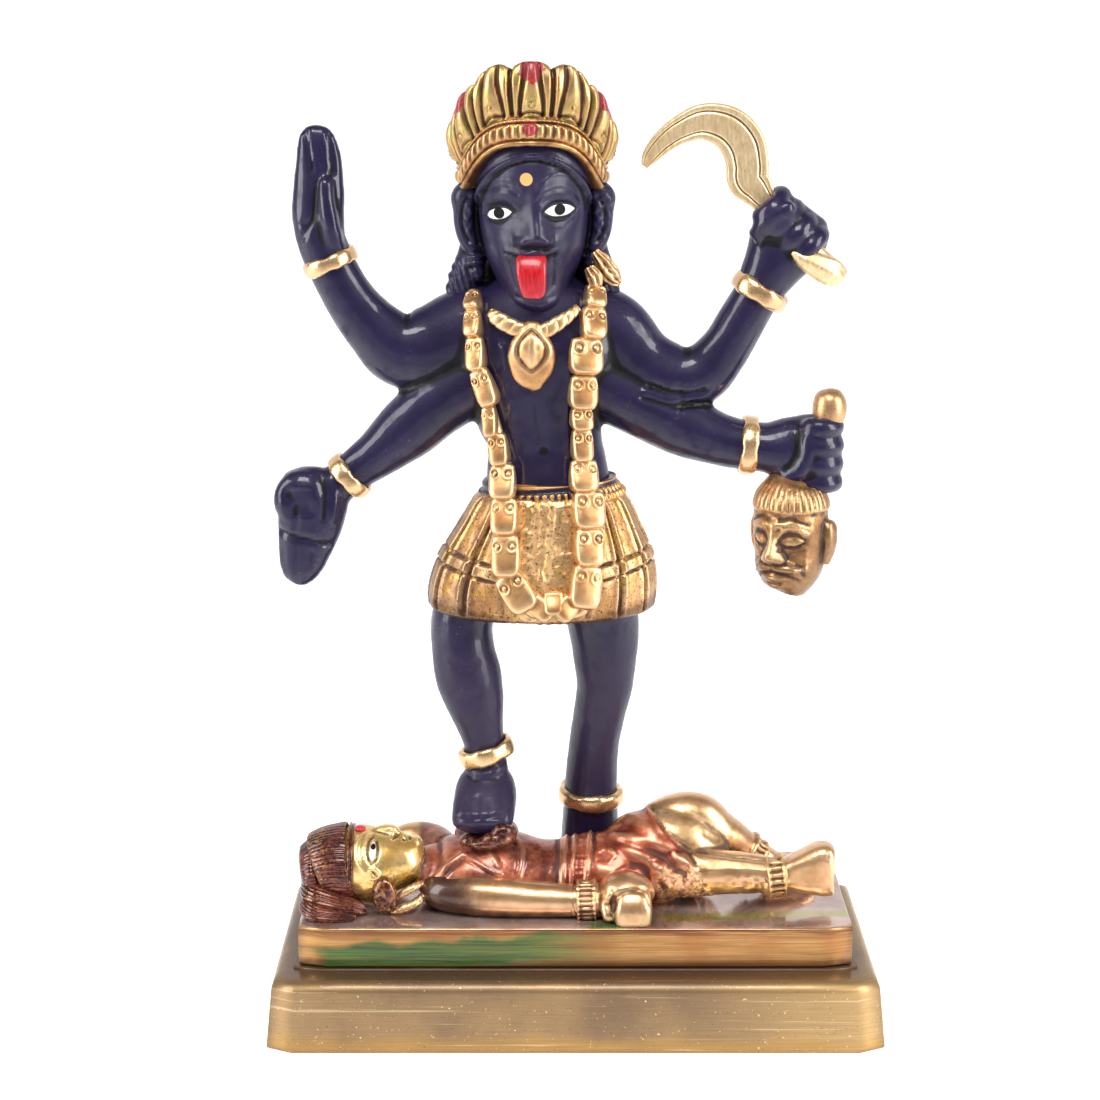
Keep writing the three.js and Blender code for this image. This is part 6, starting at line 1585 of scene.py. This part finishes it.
def reclining_brown(name="hair_brown", gleam=0.4):
    """Dark red-brown lacquer over brass with a golden painted highlight on its highest lines and darker hollows,
    patina deepened as painted shade, under gloss.
    """
    f = Finish(name, Coat_Roughness=0.06)
    hollow = f.value("hollow")
    patch, fine = f.noise(0.2, 3), f.noise(1.6, 4)
    f.base = f.mix((patch * 0.5 + fine * 0.5).step(0.4, 0.6), (56, 20, 18), (116, 58, 40))
    # painted highlight: gold glints on the highest lines
    f.lay((hollow * -1).step(0.4, 0.95) * fine.step(0.45, 0.62) * gleam, (214, 160, 84))
    # dark in the hollows: patina, deepened as painted shade
    patina_and_shade = hollow.step(0.15, 0.7)
    f.lay(patina_and_shade * 0.9, (26, 10, 10))
    f.bump(f.noise(2.6, 3) * 0.6, 0.3, 0.1)
    return f.paint(Roughness=0.26 + 0.14 * fine, Metallic=0.55 - 0.3 * patina_and_shade, Coat_Weight=0.5 - 0.4 * patina_and_shade)


def face_gold():
    """Yellow-gold face of the reclining figure, greener and mottled at the jaw, with a painted highlight on its
    ridges, brown in its hollows as patina deepened by painted shade, and the painted eye.
    """
    f = Finish("face_gold", Coat_Roughness=0.06, Coat_Weight=0.4)
    hollow = f.value("hollow")
    across, tall = f.value("across"), f.value("tall")
    fine, patch = f.noise(1.4, 4), f.noise(0.25, 3)
    f.base = f.mix(patch.step(0.3, 0.7), (206, 164, 88), (240, 206, 136))
    jaw = (1 - (tall + 3 * (patch - 0.5)).step(-5.4, -2.6)) * across.step(0.5, 2.0)
    f.lay(jaw * fine.step(0.35, 0.6) * 0.9, (170, 128, 14))
    f.lay((f.noise(0.5, 3).step(0.56, 0.68)) * 0.5, (142, 132, 34))
    # painted highlight: the ridges lightened
    f.lay((hollow * -1).step(0.2, 0.9) * 0.5, (250, 226, 168))
    # brown in the hollows: patina, deepened as painted shade
    patina_and_shade = (hollow + 0.4 * (fine - 0.5)).step(0.1, 0.7)
    f.lay(patina_and_shade * 0.9, (64, 36, 10))
    near = 1 - f.y.step(-11.0, -10.0)
    u, v = abs(across) / 0.62, abs(tall) / 2.1
    white = (1 - (u ** 2 + v ** 2.4).step(0.9, 1.05)) * near
    ring = (1 - (u ** 2 + v ** 2.4).step(1.35, 1.6)) * near
    pupil = (1 - ((across / 0.55) ** 2 + ((tall - 1.0) / 0.75) ** 2).step(0.85, 1.1)) * near
    f.lay(ring * 0.55, (58, 36, 22))
    f.lay(white, (234, 230, 232))
    f.lay(pupil * ring, (10, 8, 12))
    f.bump(fine, 0.25, 0.08)
    return f.paint(Roughness=0.26 + 0.2 * patina_and_shade, Metallic=(0.72 - 0.4 * patina_and_shade) * (1 - ring))


def slab_brass():
    """The slab: brushed orange-gold front with long horizontal brush lines and brown ones, darker at its foot from
    patina in the joint and painted shade, a glossy top whose grey-brown, yellow-green streak at the right and
    green patch at the front are painted reflection, and a streaky green smear along the left of the front."""
    f = Finish("slab_brass", Coat_Roughness=0.05)
    brushed = f.noise(1.0, 4, 0.7, (0.05, 0.1, 2.4))
    long = f.noise(0.5, 4, 0.75, (0.06, 0.12, 2.6))
    patch, fine = f.noise(0.07, 3), f.noise(1.2, 4)
    upper = f.z.step(SLAB_TOP - 0.35, SLAB_TOP - 0.05)
    f.base = f.mix(brushed.step(0.3, 0.7), (160, 114, 62), (196, 148, 88))
    f.lay(long.step(0.5, 0.7) * 0.5, (112, 68, 34))
    f.lay(patch.step(0.45, 0.7) * 0.5, (158, 92, 46))
    rim = f.z.step(SLAB_TOP - 2.6, SLAB_TOP - 1.0) * long.step(0.4, 0.55)
    f.lay(rim * 0.75, (104, 56, 36))
    # darker at the slab's foot: patina in the joint, with painted shade
    low = 1 - f.z.step(SLAB_BASE + 0.2, SLAB_BASE + 2.2)
    f.lay(low * 0.75, (70, 38, 20))
    wavy = f.noise(0.09, 3)
    smear = (f.x + 20 * (wavy - 0.5)).step(-58, -50) * (1 - (f.x + 40 * (long - 0.5)).step(-10, 14))
    over = f.z - 0.05 * f.x + 6 * (wavy - 0.5) + 3 * (long - 0.5)
    under = f.z - 0.04 * f.x + 4 * (wavy - 0.5)
    smear = smear * (1 - over.step(SLAB_TOP - 1.9, SLAB_TOP - 0.3))
    smear = smear * under.step(SLAB_BASE + 0.2, SLAB_BASE + 2.4) * (1 - f.y.step(-23, -20))
    smear = smear * (0.78 + 0.22 * long.step(0.36, 0.56))
    f.lay(smear * 0.95, f.mix(brushed.step(0.35, 0.7), (8, 52, 6), (48, 104, 14)))
    # the top: grey-brown painted reflection, with brown patches of its own tone
    top = f.mix(patch.step(0.35, 0.65), (150, 124, 116), (196, 172, 160))
    # painted reflection: a yellow-green streak on the top at the right
    streak = (1 - abs(f.y + 18.5 - 0.06 * f.x).step(1.2, 3.0)) * f.x.step(14, 22) * (0.4 + 0.6 * long.step(0.35, 0.6))
    top = f.mix(streak * 0.85, top, (150, 152, 24))
    top = f.mix(f.noise(0.12, 3).step(0.54, 0.66) * 0.4, top, (140, 96, 60))
    # painted reflection: a green patch on the front of the top, under the hand
    green_reflection = (1 - abs(f.x + 10 * (wavy - 0.5) - 7).step(2.5, 6)) * (1 - f.y.step(-21.5, -18.5))
    top = f.mix(green_reflection * 0.75, top, (72, 124, 34))
    f.lay(upper, top)
    f.bump(brushed * 0.7 + fine * 0.2, 0.35, 0.08)
    return f.paint(Roughness=(0.32 + 0.14 * brushed - 0.1 * smear) * (1 - 0.6 * upper),
                   Metallic=0.88 - 0.6 * smear - 0.3 * low - 0.3 * upper, Coat_Weight=0.35)


def plinth_brass():
    """The plinth: faintly brushed brass with a grey-brown patina over its middle, yellower towards the foot and
    lighter to the right as painted light, with fine scratches, pits and bright specks, and the slab's painted
    shadow on its top."""
    f = Finish("plinth_brass", Coat_Roughness=0.1, Coat_Weight=0.3)
    brushed = f.noise(1.2, 5, 0.75, (0.04, 0.08, 2.6))
    long = f.noise(0.4, 3, 0.6, (0.05, 0.1, 2.6))
    patch, fine = f.noise(0.045, 4), f.noise(2.4, 3)
    f.base = f.mix(patch.step(0.3, 0.68), (166, 136, 94), (132, 108, 82))
    # painted light: the plinth lighter towards the right
    f.lay(f.x.step(14, 60) * (0.4 + 0.3 * patch), (216, 180, 118))
    golden = 1 - (f.z + 7 * (patch - 0.5)).step(1.2, 4.6)
    f.lay(golden * 0.6, (188, 146, 72))
    f.lay(brushed.step(0.3, 0.7) * 0.34, (112, 82, 54))
    f.lay(long.step(0.62, 0.7) * 0.4, (228, 204, 160))
    f.lay(f.noise(1.5, 3, 0.6).step(0.675, 0.71) * 0.8, (250, 224, 156))
    f.lay(f.noise(2.3, 2).step(0.67, 0.74) * 0.7, (62, 40, 24))
    edge = 1 - (f.z + 1.2 * (fine - 0.5)).step(0.2, 1.3)
    f.lay(edge * 0.45, (96, 60, 30))
    away = (abs(f.y).step(25.0, 30.5) + abs(f.x).step(58.5, 63)).least(1.0)
    # painted shadow: the slab's shadow on the plinth's top, fading further out
    painted_slab_shadow = f.z.step(PLINTH["height"] - 1.0, PLINTH["height"] + 0.2) * (1 - 0.55 * away)
    f.lay(painted_slab_shadow * 0.8, (64, 38, 22))
    f.bump(brushed * 0.35 + fine * 0.3 + f.noise(1.5, 3, 0.6) * 0.3, 0.4, 0.1)
    return f.paint(Roughness=0.38 + 0.1 * brushed + 0.1 * patch,
                   Metallic=0.9 - 0.3 * edge - 0.4 * painted_slab_shadow)


def brushed_blade():
    """Flat pale brushed brass with brown in its engraved lines, patina deepened as painted shade, and small dark
    specks.
    """
    f = Finish("brushed_brass", Coat_Roughness=0.1, Coat_Weight=0.3)
    hollow = f.value("hollow")
    brushed = f.noise(1.6, 4, 0.7, (1.0, 1.0, 0.25))
    f.base = f.mix(brushed.step(0.3, 0.72), (226, 194, 142), (250, 226, 180))
    f.lay(f.noise(1.9, 2).step(0.66, 0.74) * 0.7, (120, 78, 44))
    # brown in the hollows: patina, deepened as painted shade
    patina_and_shade = hollow.step(0.15, 0.7)
    f.lay(patina_and_shade * 0.9, (64, 36, 18))
    f.bump(brushed, 0.25, 0.06)
    return f.paint(Roughness=0.34 + 0.18 * brushed, Metallic=0.85 - 0.5 * patina_and_shade)


def build_pieces():
    """Every piece with its finish, its slot and the node that it stands in for. The shapes of both figures are
    raised onto the slab."""
    gold = antique_brass()
    skirt_brass = antique_brass("skirt_brass", (64, 33, 14), green=0.35, pitted=0.55, shine=0.33, aged=0.3)
    polished = antique_brass("polished_brass", (96, 60, 30), green=0.05, shine=0.2)
    head_brass = antique_brass("head_brass", (52, 24, 12), green=0.1, pitted=0.2, shine=0.32, aged=0.5)
    figures = {
        "standing_figure": [
            ("black_body", body, black_paint(), "black_paint"),
            ("black_head", head, black_paint("face_paint", eyes=True), "black_paint"),
            ("tongue", tongue, tongue_paint(), "black_paint"),
            ("crown", crown, crown_brass(), "antique_brass"),
            ("skirt", skirt, skirt_brass, "antique_brass"),
            ("belt", belt, belt_paint(), "black_paint"),
            ("skull_garland", garland, gold, "antique_brass"),
            ("necklace", necklace, gold, "antique_brass"),
            ("bangles", bangles, polished, "polished_brass"),
            ("hair_lock", hair_lock, gold, "antique_brass"),
            ("severed_head", severed_head, head_brass, "antique_brass")],
        "sickle": [
            ("sickle_blade", sickle, brushed_blade(), "brushed_brass")],
        "reclining_figure_slab": [
            ("reclining_body", reclining_body, figure_lacquer(), "copper_lacquer"),
            ("reclining_face", reclining_head, face_gold(), "copper_lacquer"),
            ("reclining_arm", reclining_arm, figure_lacquer("arm_lacquer", limbs=True), "copper_lacquer"),
            ("reclining_hair", reclining_hair, reclining_brown(), "copper_lacquer"),
            ("hairline_mark", hairline_mark, tongue_paint(), "copper_lacquer"),
            ("reclining_trinkets", reclining_trinkets, gold, "antique_brass"),
            ("braze_blob", braze, reclining_brown("braze_brown", 0.15), "copper_lacquer")],
    }
    for node, pieces in figures.items():
        for name, shape, finish, slot in pieces:
            place(name, shape().moved((0, 0, SLAB_TOP)), finish, slot, node)
    place("slab", slab().moved((0, 0, SLAB_BASE)), slab_brass(), "copper_lacquer", "reclining_figure_slab")
    place("plinth_block", plinth(), plinth_brass(), "plinth_brass", "plinth")


# Stage

def lay_floor():
    """A white table that sweeps up behind the object: a profile of depth and height, in metres, carried straight
    across."""
    turn = np.linspace(0, np.pi / 2, 24)
    depth = np.concatenate([[-2.5], 0.75 + 0.5 * np.sin(turn), [1.25]])
    height = np.concatenate([[0], 0.5 - 0.5 * np.cos(turn), [2.4]])
    rows = [[(x, y, z) for x in (-3.0, 3.0)] for y, z in zip(depth, height)]
    corners = [corner for row in rows for corner in row]
    mesh = bpy.data.meshes.new("floor")
    mesh.from_pydata(corners, [], [(2 * i, 2 * i + 1, 2 * i + 3, 2 * i + 2) for i in range(len(rows) - 1)])
    mesh.polygons.foreach_set("use_smooth", [True] * len(mesh.polygons))
    floor = bpy.data.objects.new("floor", mesh)
    f = Finish("floor_white", Roughness=0.9, Emission_Strength=0.52)
    far = f.y.step(-260, -40)
    f.base = f.mix(far, (178, 176, 182), (238, 238, 240))
    mesh.materials.append(f.paint(Emission_Color=f.mix(far, (84, 82, 88), (255, 255, 255))))
    bpy.context.scene.collection.objects.link(floor)


def softbox(name, spot, aim, wide, tall, power):
    """A large rectangular light that points at a place, sizes in metres and power in watts."""
    data = bpy.data.lights.new(name, "AREA")
    data.shape = "RECTANGLE"
    data.size, data.size_y = wide, tall
    data.energy = power
    light = bpy.data.objects.new(name, data)
    light.location = spot
    way = np.asarray(aim, float) - np.asarray(spot, float)
    flat = np.hypot(way[0], way[1])
    light.rotation_euler = (np.arctan2(flat, -way[2]), 0, np.arctan2(-way[0], way[1]))
    bpy.context.scene.collection.objects.link(light)


def light_stage():
    """Faint violet-white room light, and softboxes in front: at the left, at the right and above."""
    world = bpy.data.worlds.new("studio")
    bpy.context.scene.world = world
    world.use_nodes = True
    background = world.node_tree.nodes["Background"]
    background.inputs["Color"].default_value = (0.93, 0.88, 1, 1)
    background.inputs["Strength"].default_value = 0.15
    aim = (0, 0, 0.1)
    softbox("left_box", (-0.6, -0.25, 0.3), aim, wide=0.3, tall=0.6, power=4.1)
    softbox("right_box", (0.6, -0.3, 0.3), aim, wide=0.3, tall=0.6, power=5)
    softbox("top_box", (-0.05, -0.5, 0.75), aim, wide=0.4, tall=0.3, power=5)
    bpy.context.scene.view_settings.view_transform = "Standard"


build_pieces()
lay_floor()
light_stage()
